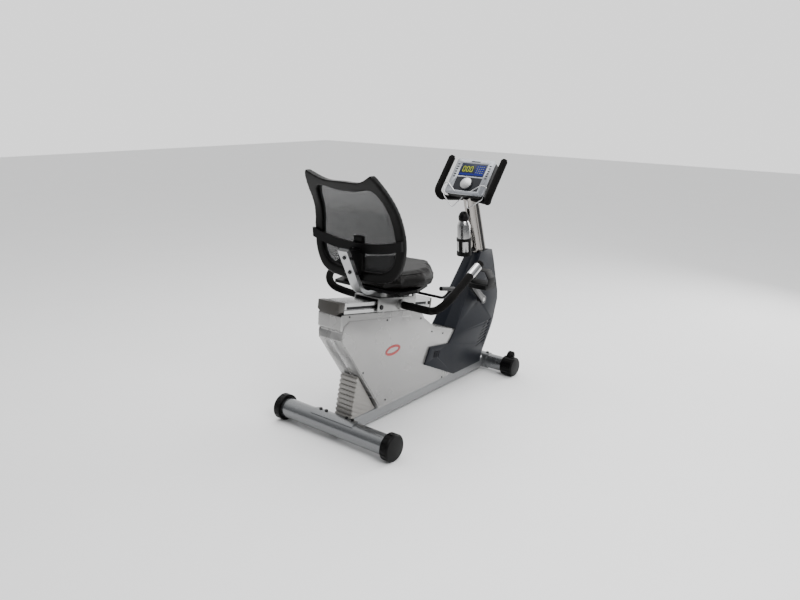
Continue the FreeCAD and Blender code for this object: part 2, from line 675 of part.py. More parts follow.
def mast_silhouette(low, high, gap):
    """The mast's side view between two heights, grown by a gap."""
    lean = math.radians(S.mast_lean.value)
    half = S.mast_depth.value / 2 / math.cos(lean) + gap
    middle = [(S.mast_foot.value - (z - S.mast_foot_height.value) * math.tan(lean), z) for z in (low, high)]
    return [(middle[0][0] - half, low), (middle[0][0] + half, low),
            (middle[1][0] + half, high), (middle[1][0] - half, high)]


def column_cover(side):
    name = "column_cover_" + ("right" if side < 0 else "left")
    wall = S.shroud_wall
    outer = cut(name + "_outer", extrude(name + "_solid", "XZ_Plane", cover_outline(), S.cover_half),
                cover_side(name + "_side", S.cover_half, S.cover_top_half))
    inner = cut(name + "_inner",
                extrude(name + "_space", "XZ_Plane", cover_outline(wall.value), S.cover_half - wall),
                cover_side(name + "_inside", S.cover_half - wall, S.cover_top_half - wall))
    gap = S.cover_gap
    clear = [(480.0, beam_top), (S.shroud_front + 1, beam_top), (S.shroud_front + 1, 306.0 + gap.value + 1.5),
             (745.0, 321.0 + gap.value + 2), (612.0, 366.0), (480.0, 366.0)]
    past = extrude(name + "_past", "XZ_Plane", clear, S.shroud_half + S.panel_rise + gap)
    hole = cylinder(name + "_hole", S.axle_radius + 5, 90, S.crank_station, 0, S.crank_height)
    mouth = extrude(name + "_mouth", "XZ_Plane", mast_silhouette(560.0, 700.0, 1.5), S.mast_width / 2 + 1.5)
    tools = [inner, past, hole, mouth]
    for i in range(3):
        tools.append(place(box(f"{name}_slot{i}", 5, 12, 34, 0, 0, 0), 600 + 17 * i, S.cover_half - 3.2,
                           212 - 3 * i, Vector(0, 1, 0), 20))
    for i in range(7):
        tools.append(place(box(f"{name}_louvre{i}", 44 - 3 * i, 14, 5, 0, 0, 0), 1010 + 12 * i,
                           S.cover_half - 9, 180 + 17 * i, Vector(0, 1, 0), -12))
    half = cut(name + "_cut", outer, *tools)
    if side < 0:
        half = mirrored(name + "_mirror", half)
    node(name, half)


# ---------------------------------------------------------------- front frame and drive


def front_frame():
    """Two plates from the beam to the mast, with the bearing rings and spacers."""
    inner = S.mast_width / 2
    outline = [(746.0, beam_top), (1000.0, beam_top), (1086.0, 250.0), (1150.0, 420.0), (1122.0, 610.0),
               (1034.0, 610.0), (806.0, 290.0), (746.0, 240.0)]
    pieces = []
    for side in (-1, 1):
        y = inner if side > 0 else -inner - S.frame_plate
        pieces.append(extrude(f"frame_plate{side + 1}", "XZ_Plane", outline, S.frame_plate, 0, y))
        ring_y = inner if side > 0 else -inner - S.bearing_width
        pieces.append(cylinder(f"bearing_ring{side + 1}", S.bearing_radius + 5, S.bearing_width,
                               S.crank_station, ring_y, S.crank_height))
    for i, (x, z) in enumerate(((970.0, 110.0), (1110.0, 330.0), (940.0, 200.0), (1122.0, 520.0))):
        pieces.append(cylinder(f"frame_spacer{i}", 8, 2 * inner, x, -inner, z))
    bore = cylinder("frame_bearing_bore", S.bearing_radius, 4 * inner, S.crank_station, -2 * inner,
                    S.crank_height)
    axle = cylinder("frame_axle_bore", S.fly_axle_radius, 4 * inner, S.flywheel_station, -2 * inner,
                    S.flywheel_height)
    node("front_frame", cut("front_frame_cut", fuse("front_frame_fuse", *pieces), bore, axle))


def crank_bearings():
    inner = S.mast_width / 2
    race = cylinder("bearing_race", S.bearing_radius, S.bearing_width, S.crank_station, inner, S.crank_height)
    bore = cylinder("bearing_bore", S.axle_radius + S.running_fit, S.bearing_width, S.crank_station, inner,
                    S.crank_height)
    node("crank_bearings", pair("bearings", cut("bearing_one", race, bore)))


def crank_axle():
    half = S.arm_inner + S.arm_thick
    node("crank_axle", cylinder("axle_rod", S.axle_radius, 2 * half, S.crank_station, -half, S.crank_height))


def drive_pulley():
    start = S.belt_plane - S.pulley_width / 2
    outline = [(S.axle_radius, 0.0), (S.pulley_radius + 2, 0.0), (S.pulley_radius + 2, 1.2),
               (S.pulley_radius, 1.2), (S.pulley_radius, S.pulley_width - 1.2),
               (S.pulley_radius + 2, S.pulley_width - 1.2), (S.pulley_radius + 2, S.pulley_width),
               (S.axle_radius, S.pulley_width)]
    wheel = revolve("drive_wheel", outline, S.crank_station, start + S.pulley_width, S.crank_height,
                    Vector(1, 0, 0), 90)
    holes = []
    for i in range(5):
        angle = math.radians(72 * i)
        x = S.crank_station + 58 * math.cos(angle)
        z = S.crank_height + 58 * math.sin(angle)
        holes.append(cylinder(f"pulley_hole{i}", 20, S.pulley_width + 2, x, start - 1, z))
    node("drive_pulley", cut("drive_pulley_cut", wheel, *holes))


def crank_point(length, side):
    """Station and height of a point on a crank arm: the right arm points back and up."""
    angle = math.radians(S.crank_angle.value)
    return (S.crank_station + side * math.cos(angle) * length,
            S.crank_height + side * math.sin(angle) * length)


def crank_arm(side, label):
    """A tapered forged arm, thicker at the axle than at the pedal."""
    sign = 1 if side < 0 else -1
    y = -S.arm_inner - S.arm_thick if side < 0 else S.arm_inner
    boss, eye = S.arm_boss_radius, S.arm_eye_radius
    root = cylinder(label + "_root", boss, S.arm_thick, S.crank_station, y, S.crank_height)
    end = cylinder(label + "_end", eye, S.arm_thick, *insert_y(crank_point(S.crank_length, sign), y))
    blade = [(0.0, -(boss * 0.86)), (S.crank_length, -(eye * 0.86)), (S.crank_length, eye * 0.86),
             (0.0, boss * 0.86)]
    web = extrude(label + "_web", "XZ_Plane", blade, S.arm_thick, S.crank_station, y, S.crank_height,
                  axis=Vector(0, 1, 0), angle=-S.crank_angle.value + (0 if sign > 0 else 180))
    bore = cylinder(label + "_bore", S.axle_radius, S.arm_thick, S.crank_station, y, S.crank_height)
    node(label, cut(label + "_cut", fuse(label + "_fuse", root, end, web), bore))


def insert_y(point, y):
    return point[0], y, point[1]


def pedal_spindles():
    rods = []
    for sign, name in ((1, "right"), (-1, "left")):
        x, z = crank_point(S.crank_length, sign)
        length = S.pedal_inner + S.pedal_width - 8 - S.arm_inner - S.arm_thick
        y = -(S.arm_inner + S.arm_thick + length) if sign > 0 else S.arm_inner + S.arm_thick
        rods.append(cylinder(f"spindle_{name}", S.spindle_radius, length, x, y, z))
    node("pedal_spindles", group("spindles", *rods))


def pedal(sign, label):
    """A platform on the spindle, with a strap arched over the foot's place."""
    x, z = crank_point(S.crank_length, sign)
    half, tall = S.pedal_length / 2, S.pedal_height / 2
    y = -(S.pedal_inner + S.pedal_width) if sign > 0 else S.pedal_inner
    body = [(-half, -(tall * 0.6)), (-(half * 0.7), -tall), (half * 0.7, -tall), (half, -(tall * 0.6)),
            (half, tall * 0.7), (half * 0.8, tall), (-(half * 0.8), tall), (-half, tall * 0.7)]
    platform = extrude(label + "_platform", "XZ_Plane", body, S.pedal_width, x, y, z)
    bore = cylinder(label + "_bore", S.spindle_radius + S.running_fit, S.pedal_width - 8 + 0.5, x,
                    y + (8 - 0.5 if sign > 0 else 0), z)
    wide = S.pedal_width.value
    rise = S.strap_rise.value
    thick = S.strap_thick.value
    arch = [(0.0, 8.0), (-thick, 8.0), (-thick, rise * 0.55), (wide * 0.2, rise), (wide * 0.8, rise),
            (wide + thick, rise * 0.55), (wide + thick, 8.0), (wide, 8.0), (wide, rise * 0.5),
            (wide * 0.78, rise - thick), (wide * 0.22, rise - thick), (0.0, rise * 0.5)]
    strap = extrude(label + "_strap", "YZ_Plane", arch, S.strap_width, x - S.strap_width / 2, y, z)
    node(label, fuse(label + "_fuse", cut(label + "_cut", platform, bore), strap))


def flywheel():
    """A turned wheel with its poly-V pulley in one piece."""
    start = S.fly_plane - S.flywheel_width / 2
    end = S.belt_plane + S.pulley_width / 2
    rim, hub = S.flywheel_radius, S.small_pulley_radius
    tall = end - start
    bore = S.fly_axle_radius + S.running_fit
    outline = [(bore, 0.0), (rim, 0.0), (rim, S.flywheel_width), (rim - 22, S.flywheel_width),
               (rim - 26, S.flywheel_width - 7), (hub + 8, S.flywheel_width - 7), (hub, S.flywheel_width - 4),
               (hub, tall), (bore, tall)]
    wheel = revolve("fly_wheel", outline, S.flywheel_station, start, S.flywheel_height, Vector(1, 0, 0), -90)
    node("flywheel", wheel)


def flywheel_axle():
    half = S.mast_width / 2 + S.frame_plate + 8
    node("flywheel_axle", cylinder("fly_axle", S.fly_axle_radius, 2 * half, S.flywheel_station, -half,
                                   S.flywheel_height))


def belt_line():
    """Centre distance and angle from the flywheel's pulley to the crank's."""
    dx = S.crank_station.value - S.flywheel_station.value
    dz = S.crank_height.value - S.flywheel_height.value
    return math.hypot(dx, dz), math.atan2(dz, dx)


def belt_loop(grow, width):
    """A belt-shaped prism round both pulleys, grown outwards from their faces."""
    span, angle = belt_line()
    large, small = S.pulley_radius.value + grow, S.small_pulley_radius.value + grow
    lean = math.acos((large - small) / span)
    centre_l = Vector(S.crank_station.value, 0, S.crank_height.value)
    centre_s = Vector(S.flywheel_station.value, 0, S.flywheel_height.value)

    def around(centre, radius, turn):
        return centre + Vector(math.cos(angle + turn), 0, math.sin(angle + turn)) * radius

    away = math.pi - lean
    edges = [Part.LineSegment(around(centre_s, small, away), around(centre_l, large, away)).toShape(),
             Part.Arc(around(centre_l, large, away), around(centre_l, large, 0),
                      around(centre_l, large, -away)).toShape(),
             Part.LineSegment(around(centre_l, large, -away), around(centre_s, small, -away)).toShape(),
             Part.Arc(around(centre_s, small, -away), around(centre_s, small, math.pi),
                      around(centre_s, small, away)).toShape()]
    face = Part.Face(Part.Wire(edges))
    face.translate(Vector(0, S.belt_plane.value - width / 2, 0))
    return face.extrude(Vector(0, width, 0))


def drive_belt():
    width = S.belt_width.value
    belt = belt_loop(S.belt_thick.value + 0.1, width).cut(belt_loop(0.1, width))
    node("drive_belt", feature("belt", belt))


def idler_spot():
    """The idler sits outside the lower run, halfway along."""
    span, angle = belt_line()
    large, small = S.pulley_radius.value, S.small_pulley_radius.value
    lean = math.acos((large - small) / span)
    away = -(math.pi - lean)
    first = (S.flywheel_station.value + small * math.cos(angle + away),
             S.flywheel_height.value + small * math.sin(angle + away))
    last = (S.crank_station.value + large * math.cos(angle + away),
            S.crank_height.value + large * math.sin(angle + away))
    reach = S.belt_thick.value + S.idler_radius.value + 0.4
    normal = (math.cos(angle + away), math.sin(angle + away))
    return ((first[0] + last[0]) / 2 + normal[0] * reach, (first[1] + last[1]) / 2 + normal[1] * reach)


def idler():
    x, z = idler_spot()
    start = S.belt_plane - S.pulley_width / 2
    roller = cut("idler_cut", cylinder("idler_roller", S.idler_radius, S.pulley_width, x, start, z),
                 cylinder("idler_bore", S.wheel_pin_radius + S.running_fit, S.pulley_width, x, start, z))
    node("idler_pulley", roller)
    inner = S.mast_width / 2
    pin = cylinder("idler_pin", S.wheel_pin_radius, inner - start, x, start, z)
    plate = cylinder("idler_flange", 12, inner - start - S.pulley_width - 0.5, x,
                     start + S.pulley_width + 0.5, z)
    return fuse("idler_arm", pin, plate)


def magnet_arm():
    """A curved shoe near the flywheel's rim, hung on a pivot ear behind it."""
    inner = S.flywheel_radius.value + S.magnet_gap.value
    outer = inner + S.magnet_thick.value
    centre = Vector(S.flywheel_station.value, S.fly_plane.value - S.magnet_width.value / 2,
                    S.flywheel_height.value)
    start, sweep = S.magnet_start.value, S.magnet_end.value - S.magnet_start.value
    drum = Part.makeCylinder(outer, S.magnet_width.value, centre, Vector(0, 1, 0), sweep)
    drum = drum.cut(Part.makeCylinder(inner, S.magnet_width.value, centre, Vector(0, 1, 0)))
    middle = math.radians(start + sweep / 2)
    box_centre = drum.BoundBox.Center - centre
    have = math.atan2(box_centre.z, box_centre.x)
    drum.rotate(centre, Vector(0, 1, 0), math.degrees(have - middle))
    pivot = magnet_pivot()
    spot = Vector(pivot[0], centre.y, pivot[1])
    ear = Part.makeCylinder(11, S.magnet_width.value, spot, Vector(0, 1, 0))
    end = math.radians(S.magnet_end.value - 3)
    half = S.magnet_thick.value / 2
    rim = centre + Vector(math.cos(end) * (inner + half), 0, math.sin(end) * (inner + half))
    side = (rim - spot).normalize().cross(Vector(0, 1, 0)) * half
    corners = [spot + side, rim + side, rim - side, spot - side]
    link = Part.Face(Part.makePolygon(corners + corners[:1])).extrude(Vector(0, S.magnet_width.value, 0))
    shape = drum.fuse([ear, link]).removeSplitter()
    shape = shape.cut(Part.makeCylinder(inner, S.magnet_width.value, centre, Vector(0, 1, 0)))
    bore = Part.makeCylinder(S.wheel_pin_radius.value + S.running_fit.value, S.magnet_width.value + 2,
                             spot - Vector(0, 1, 0), Vector(0, 1, 0))
    node("magnet_arm", feature("magnet_shoe", shape.cut(bore)))


def magnet_pivot():
    angle = math.radians(S.magnet_pivot_angle.value)
    reach = S.magnet_pivot_reach.value
    return (S.flywheel_station.value + reach * math.cos(angle), S.flywheel_height.value + reach * math.sin(angle))


def brake_motor():
    """The servo that pulls the magnets, on a foot on the beam, with the arm's pivot pin."""
    x, z = magnet_pivot()
    block = box("motor_block", S.motor_length, S.motor_width, S.motor_height, S.motor_station,
                -S.motor_width / 2, beam_top)
    half = S.magnet_width / 2 + 8
    pin = cylinder("magnet_pin", S.wheel_pin_radius, 2 * half, x, S.fly_plane - half, z)
    foot = rectangle(x - 7, beam_top, x + 7, z + 8)
    ears = []
    for i, y in enumerate((S.fly_plane - half, S.fly_plane + half - 6)):
        ears.append(extrude(f"magnet_ear{i}", "XZ_Plane", foot, 6, 0, y))
    node("brake_motor", block)
    return fuse("magnet_bracket", pin, *ears)


def brackets():
    node("drive_brackets", group("bracket_group", idler(), brake_motor()))


# ---------------------------------------------------------------- mast and console

mast_turn = (Vector(0, 1, 0), -S.mast_lean)


def oval(depth, width):
    """A flat-sided oval with round ends, as one face across the mast."""
    end = width / 2
    straight = depth / 2 - end
    edges = [Part.LineSegment(Vector(-straight, end, 0), Vector(straight, end, 0)).toShape(),
             Part.Arc(Vector(straight, end, 0), Vector(depth / 2, 0, 0), Vector(straight, -end, 0)).toShape(),
             Part.LineSegment(Vector(straight, -end, 0), Vector(-straight, -end, 0)).toShape(),
             Part.Arc(Vector(-straight, -end, 0), Vector(-depth / 2, 0, 0),
                      Vector(-straight, end, 0)).toShape()]
    return Part.Face(Part.Wire(edges))


def mast():
    """A hollow oval extrusion with a groove along each flat side."""
    depth, width, length = S.mast_depth.value, S.mast_width.value, S.mast_length.value
    wall = S.mast_wall.value
    tube = oval(depth, width).extrude(Vector(0, 0, length))
    tube = tube.cut(oval(depth - 2 * wall, width - 2 * wall).extrude(Vector(0, 0, length)))
    groove = S.mast_groove.value
    for side in (-1, 1):
        for x in (-14, 14):
            y = side * (width / 2) - groove / 2
            tube = tube.cut(Part.makeBox(groove * 1.6, groove, length, Vector(x - groove, y, 0)))
    thing = place(feature("mast_tube", tube), S.mast_foot, 0, S.mast_foot_height, *mast_turn)
    half = S.console_width / 2
    above = on_console("mast_trim", rectangle(-half, -4 * half, half, 4 * half), 4 * half,
                       -S.bezel_thick - S.housing_thick)
    bore = feature("mast_bar_bore", swept(bar_path(), S.bar_radius.value))
    node("mast", cut("mast_cut", thing, above, bore))


console_turn = (Vector(0, 1, 0), 90 - S.console_tilt)


def on_console(name, outline, depth, out=0.0, round_by=None):
    """An outline of (across, up the face) extruded out of the console's face, towards the rider."""
    flipped = [(up, across) for across, up in outline]
    body = extrude(name, "XY_Plane", flipped, depth, round_by=round_by)
    tilt = math.radians(S.console_tilt.value)
    x = S.console_station - math.sin(tilt) * value(out)
    z = S.console_height + math.cos(tilt) * value(out)
    return place(body, x, 0, z, Vector(0, 1, 0), -S.console_tilt)


def console():
    half, tall = S.console_width / 2, S.console_face_height
    wall, deep = S.housing_wall, S.housing_thick
    outer = on_console("housing_outer", rectangle(-half + 2, 2, half - 2, tall - 2), deep,
                       -S.bezel_thick - deep, 12)
    inner = on_console("housing_inner", rectangle(wall + 2 - half, wall + 2, half - wall - 2, tall - wall - 2),
                       deep - wall, -S.bezel_thick - deep + wall, 9)
    node("console_housing", cut("housing_cut", outer, inner))
    face = on_console("face_plate", rectangle(-half, 0, half, tall), S.bezel_thick, -S.bezel_thick, 12)
    window = S.screen_width / 2
    depth = S.window_depth
    screen_hole = on_console("screen_hole", rectangle(-window, S.screen_low, window, S.screen_low + S.screen_height),
                             depth + 1, -depth)
    panel_hole = on_console("panel_hole", rectangle(-window, S.panel_low, window, S.panel_low + S.panel_height),
                            depth + 1, -depth)
    stem_hole = dial_cylinder("stem_hole", S.dial_stem + S.running_fit, S.bezel_thick + 2, -S.bezel_thick - 1)
    node("console_face", cut("face_cut", face, screen_hole, panel_hole, stem_hole))
    screen = rectangle(-window, S.screen_low, window, S.screen_low + S.screen_height)
    node("console_screen", on_console("screen", screen, depth - 0.5, -depth))
    panel = rectangle(-window, S.panel_low, window, S.panel_low + S.panel_height)
    plate = on_console("panel", panel, depth - 0.5, -depth)
    node("console_panel", cut("panel_cut", plate,
                              dial_cylinder("panel_bore", S.dial_stem + S.running_fit, 20, -10)))
    board = S.board_width / 2
    low = (tall - S.board_height) / 2
    node("console_board", on_console("board", rectangle(-board, low, board, low + S.board_height),
                                     S.board_thick, -S.bezel_thick - S.board_thick - 6))


def dial_cylinder(name, radius, length, out):
    tilt = math.radians(S.console_tilt.value)
    rod = doc.addObject("Part::Cylinder", name)
    bind(rod, "Radius", radius)
    bind(rod, "Height", length)
    up = S.dial_up
    x = S.console_station + math.cos(tilt) * up - math.sin(tilt) * value(out)
    z = S.console_height + math.sin(tilt) * up + math.cos(tilt) * value(out)
    return place(rod, x, 0, z, Vector(0, 1, 0), -S.console_tilt)


def jog_dial():
    knob = dial_cylinder("dial_knob", S.dial_radius, S.dial_thick, 0.6)
    stem = dial_cylinder("dial_stem_rod", S.dial_stem, S.bezel_thick + 3.6, -S.bezel_thick - 3)
    node("jog_dial", fuse("dial_fuse", knob, stem))


def bar_points(side):
    """From the grip's top down to the bend, then behind the housing to the mast."""
    half = S.bar_half.value * side
    back = S.bar_turn_back.value
    behind = console_point(S.bar_turn_half.value * side, 0.0, -back)
    centre = console_point(0.0, S.bar_cross_rise.value, -back - 2)
    return [(S.bar_top_station, half, S.bar_top_height), (S.bar_low_station, half, S.bar_low_height),
            behind, centre]


def bar_path():
    return bent_path(bar_points(-1) + bar_points(1)[:-1][::-1], S.bar_bend.value)


def upper_handlebar():
    """One bent tube from grip to grip, which passes through the mast behind the console."""
    tube = swept(bar_path(), S.bar_radius.value, S.bar_radius.value - S.bar_wall.value)
    node("upper_handlebar", feature("bar_tube", tube))


def upper_grips():
    """Foam sleeves along the straight of each side and round the lower bend."""
    top, low, behind, _ = (Vector(*(value(c) for c in point)) for point in bar_points(-1))
    top = top + (low - top).normalize() * S.grip_inset.value
    path = bent_path([tuple(top), tuple(low), tuple(behind - (behind - low) * 0.3)], S.bar_bend.value)
    sleeve = swept(path, S.grip_radius.value).cut(swept(path, S.bar_radius.value))
    node("upper_grips", pair("grips", feature("grip_sleeve", sleeve)))


def console_point(across, up, out):
    tilt = math.radians(S.console_tilt.value)
    return (S.console_station.value + math.cos(tilt) * up - math.sin(tilt) * out, across,
            S.console_height.value + math.sin(tilt) * up + math.cos(tilt) * out)


def page_holder():
    """A sprung wire loop under each lower corner of the console, hooked over its face."""
    route = [(12, 1, -28), (45, -64, -25), (112, -10, -10), (120, 50, 8), (92, 45, 17), (42, 6, 15)]
    points = [console_point(*spot) for spot in route]
    wire = swept(bent_path(points, 9), S.wire_radius.value)
    node("page_holder", pair("page_wires", feature("page_wire", wire)))


# ---------------------------------------------------------------- bottle

bottle_turn = (Vector(0, 1, 0), -S.bottle_lean)


def bottle_piece(name, outline):
    return revolve(name, outline, S.bottle_station, 0, S.bottle_base, *bottle_turn)


def bottle():
    radius, long = S.bottle_radius, S.bottle_length
    outline = [(0, 0), (radius - 4, 0), (radius, 4), (radius, long - 24), (S.bottle_neck, long), (0, long)]
    node("bottle", bottle_piece("bottle_body", outline))
    cap = S.bottle_cap_radius
    top = long + S.bottle_cap_height
    outline = [(0, long), (cap, long), (cap + 1, long + 18), (cap - 5, top - 12), (cap - 14, top - 2), (0, top)]
    node("bottle_cap", bottle_piece("bottle_lid", outline))


def bottle_cage():
    """A cup, a hoop and four ribs, on an arm from the mast."""
    inner = S.bottle_radius + S.cage_gap
    outer = inner + S.cage_wall
    tall = S.cage_height
    wall = S.cage_wall
    shell = bottle_piece("cage_shell", [(inner, -wall), (outer, -wall), (outer, tall), (inner, tall)])
    floor = bottle_piece("cage_floor", [(0, -wall - 1), (outer, -wall - 1), (outer, -1), (0, -1)])
    windows = []
    for i in range(2):
        window = box(f"cage_window{i}", 3 * outer, outer * 1.1, tall - 26)
        turn = Rotation(Vector(0, 1, 0), -S.bottle_lean.value) * Rotation(Vector(0, 0, 1), 45 + 90 * i)
        centre = Rotation(Vector(0, 1, 0), -S.bottle_lean.value).multVec(Vector(0, 0, 13))
        offset = turn.multVec(Vector(-1.5 * outer.value, -0.55 * outer.value, 0))
        window.Placement = Placement(Vector(S.bottle_station.value, 0, S.bottle_base.value) + centre + offset, turn)
        windows.append(window)
    body = cut("cage_open", fuse("cage_cup", shell, floor), *windows)
    reach = S.mast_foot - S.bottle_station - S.mast_depth / 2 - S.bottle_radius
    arm = box("cage_arm", reach, 24, 12, S.bottle_station + S.bottle_radius + 2, -12, S.bottle_base + 4)
    clear = bottle_piece("cage_clear", [(0, -1), (inner, -1), (inner, tall + 4), (0, tall + 4)])
    lean = math.radians(S.mast_lean.value)
    mast_copy = feature("mast_copy", oval(S.mast_depth.value, S.mast_width.value).extrude(
        Vector(0, 0, S.mast_length.value)))
    place(mast_copy, S.mast_foot, 0, S.mast_foot_height, *mast_turn)
    node("bottle_cage", fuse("cage_fuse", body, cut("cage_arm_cut", arm, clear, mast_copy)))


# ---------------------------------------------------------------- seat carriage


def seat_carriage():
    """A channel over the rail with side plates, handle sockets, risers and lever lugs."""
    start, length = S.carriage_start, S.carriage_length
    inner = S.rail_width / 2 + S.carriage_side_gap
    outer = inner + S.carriage_plate
    top = S.carriage_lift + S.carriage_plate
    low = -S.rail_height
    section = [(-outer, low), (-inner, low), (-inner, S.carriage_lift), (inner, S.carriage_lift),
               (inner, low), (outer, low), (outer, top), (-outer, top)]
    pieces = [on_slope("carriage_channel", section, length, start)]
    deck = S.deck_height
    floor = 535
    for name, spot in (("rear", S.riser_rear), ("front", S.riser_front)):
        riser = box(f"riser_{name}", S.riser_length, S.riser_width, deck - floor, spot, -S.riser_width / 2, floor)
        pieces.append(riser)
    for side, y in ((-1, -outer - S.boss_length), (1, outer)):
        pieces.append(cylinder(f"handle_boss{side + 1}", S.boss_radius, S.boss_length, S.boss_station, y,
                               S.boss_height))
    lug_x, lug_z = lever_axis()
    for i, y in enumerate((-66, -30)):
        pieces.append(extrude(f"lever_lug{i}", "XZ_Plane",
                              [(lug_x - 9, lug_z - 26), (lug_x + 9, lug_z - 26), (lug_x + 9, lug_z + 9),
                               (lug_x - 9, lug_z + 9)], 8, 0, y))
    bores = [cylinder("lug_bore", 6.05, 60, lug_x, -70, lug_z)]
    for side, y in ((-1, -outer - S.boss_length), (1, outer)):
        bores.append(cylinder(f"boss_bore{side + 1}", S.handle_tube_radius, S.boss_length, S.boss_station,
                              y, S.boss_height))
    rail_space = [(-inner, low - 40), (inner, low - 40), (inner, S.carriage_lift), (-inner, S.carriage_lift)]
    bores.append(on_slope("carriage_space", rail_space, length + 80, start - 40))
    node("seat_carriage", cut("carriage_cut", fuse("carriage_fuse", *pieces), *bores))


def lever_axis():
    return 447.0, 566.0


def carriage_glides():
    """Four nylon blocks that run in the rail's side grooves."""
    gap = S.glide_gap
    inner = S.rail_width / 2 - S.groove_depth + gap
    outer = S.rail_width / 2 + S.carriage_side_gap
    top = -(S.rail_height - S.groove_height) / 2 - gap
    low = top - S.groove_height + 2 * gap
    blocks = []
    for side in (-1, 1):
        for i, spot in enumerate((S.glide_inset, S.carriage_length - S.glide_inset - S.glide_length)):
            section = [(inner * side, low), (outer * side, low), (outer * side, top), (inner * side, top)]
            blocks.append(on_slope(f"glide{side + 1}{i}", section, S.glide_length, S.carriage_start + spot))
    node("carriage_glides", group("glides", *blocks))


def carriage_bolts():
    """Round bolt heads over the glides, on both side plates."""
    face = S.rail_width / 2 + S.carriage_side_gap + S.carriage_plate
    heads = []
    for i, spot in enumerate((S.glide_inset - 18, S.carriage_length - S.glide_inset + 18)):
        x, z = on_rail(value(S.carriage_start + spot), 24.0)
        heads.append(cylinder(f"carriage_bolt{i}", 10, 5, x, face, z))
    return pair("carriage_bolts", group("carriage_bolt_side", *heads))


def seat_bracket():
    """A bent flat bar that runs under the seat and up behind the backrest."""
    thick = S.strap_bar_thick.value
    deck = S.deck_height.value
    points = [(432.0, 0.0, deck + thick / 2), (150.0, 0.0, deck + thick / 2), (52.0, 0.0, 806.0)]
    path = bent_path(points, 66)
    start = Vector(*points[0])
    half, tall = S.strap_bar_width.value / 2, thick / 2
    corners = [start + Vector(0, y, z) for y, z in ((-half, -tall), (half, -tall), (half, tall), (-half, tall))]
    ring = Part.makePolygon(corners + [corners[0]])
    bar = path.makePipeShell([Part.Wire(ring.Edges)], True, False)
    node("seat_bracket", feature("bracket_bar", bar))


def bracket_side():
    """Direction up the bracket's rear leg."""
    low, top = Vector(150, 0, S.deck_height.value + S.strap_bar_thick.value / 2), Vector(52, 0, 806)
    return low, (top - low).normalize()


def back_mount():
    """The block between the bracket and the backrest's centre."""
    half = S.mount_half_width
    low, up = bracket_side()
    normal = Vector(up.z, 0, -up.x)
    face = S.strap_bar_thick.value / 2
    outline = []
    for z in (S.mount_low.value, S.mount_high.value):
        along = (z - low.z) / up.z
        point = low + up * along + normal * face
        outline.append((point.x, point.z))
    back = back_profile(S.mount_high.value)
    outline += [(back, S.mount_high.value), (back, S.mount_low.value)]
    block = extrude("mount_block", "XZ_Plane", outline, 2 * half, 0, -half)
    node("back_mount", cut("mount_cut", block, feature("mount_face", back_sheet(S.back_thick.value))))


def bracket_bolts():
    """Bolt heads on the bracket's rear face and spacers at its sides."""
    low, up = bracket_side()
    normal = Vector(up.z, 0, -up.x)
    heads = []
    for i, z in enumerate((712.0, 778.0)):
        spot = low + up * ((z - low.z) / up.z) - normal * (S.strap_bar_thick.value / 2 + S.bolt_head.value)
        heads.append(Part.makeCylinder(S.bolt_radius.value, S.bolt_head.value, spot, normal))
        side = low + up * ((z - 6 - low.z) / up.z)
        for y in (S.strap_bar_width.value / 2, -S.strap_bar_width.value / 2 - 10):
            heads.append(Part.makeCylinder(6.5, 10, Vector(side.x, y, side.z), Vector(0, 1, 0)))
    return feature("bracket_bolts", Part.makeCompound(heads))


def seat_bolts():
    node("seat_bolts", group("seat_bolt_group", carriage_bolts(), bracket_bolts()))


def seat_outline(inset=0.0):
    nose, hip, side, back = (S.cushion_nose.value, S.cushion_hip_width.value, S.cushion_side_width.value,
                             S.cushion_back_width.value)
    near = [(S.cushion_back.value + inset, back - inset), (S.cushion_side.value, side - inset),
            (S.cushion_hip.value, hip - inset), (S.cushion_front.value - inset, nose - inset)]
    return near + [(x, -y) for x, y in near[::-1]]


def seat():
    """A moulded pan on the bracket and a foam cushion on the pan."""
    deck = S.deck_height + S.strap_bar_thick
    pan = extrude("pan_board", "XY_Plane", seat_outline(S.pan_inset.value), S.pan_thick, 0, 0, deck)
    node("seat_pan", pan)
    cushion = extrude("cushion_foam", "XY_Plane", seat_outline(), S.cushion_thick, 0, 0,
                      deck + S.pan_thick + 0.3)
    node("seat_cushion", cushion)


# ---------------------------------------------------------------- backrest


def back_points():
    """Side profile of the backrest: upright at the lumbar, flared back at the tips."""
    return [(152.0, 640.0), (150.0, 760.0), (147.0, 860.0), (124.0, 965.0), (78.0, 1040.0), (20.0, 1125.0)]


def back_curve():
    curve = Part.BSplineCurve()
    curve.interpolate([Vector(x, 0, z) for x, z in back_points()])
    return curve


def back_profile(height):
    """Station of the backrest's middle surface at a height."""
    curve = back_curve()
    first, last = curve.FirstParameter, curve.LastParameter
    for _ in range(40):
        middle = (first + last) / 2
        if curve.value(middle).z < height:
            first = middle
        else:
            last = middle
    return curve.value((first + last) / 2).x


def back_sheet(thick):
    """A slab that follows the side profile, as wide as the backrest."""
    curve = back_curve()
    reach = S.back_half_width.value + 30

    def offset(side):
        points = []
        for i in range(9):
            parameter = curve.FirstParameter + (curve.LastParameter - curve.FirstParameter) * i / 8
            tangent = Vector(*curve.tangent(parameter)[0])
            points.append(curve.value(parameter) + Vector(tangent.z, 0, -tangent.x) * (side * thick / 2))
        line = Part.BSplineCurve()
        line.interpolate(points)
        return line.toShape(), points

    front, front_points = offset(1)
    rear, rear_points = offset(-1)
    ends = [Part.LineSegment(front_points[k], rear_points[k]).toShape() for k in (0, -1)]
    face = Part.Face(Part.Wire(Part.__sortEdges__([front, rear] + ends)))
    face.translate(Vector(0, -reach, 0))
    return face.extrude(Vector(0, 2 * reach, 0))


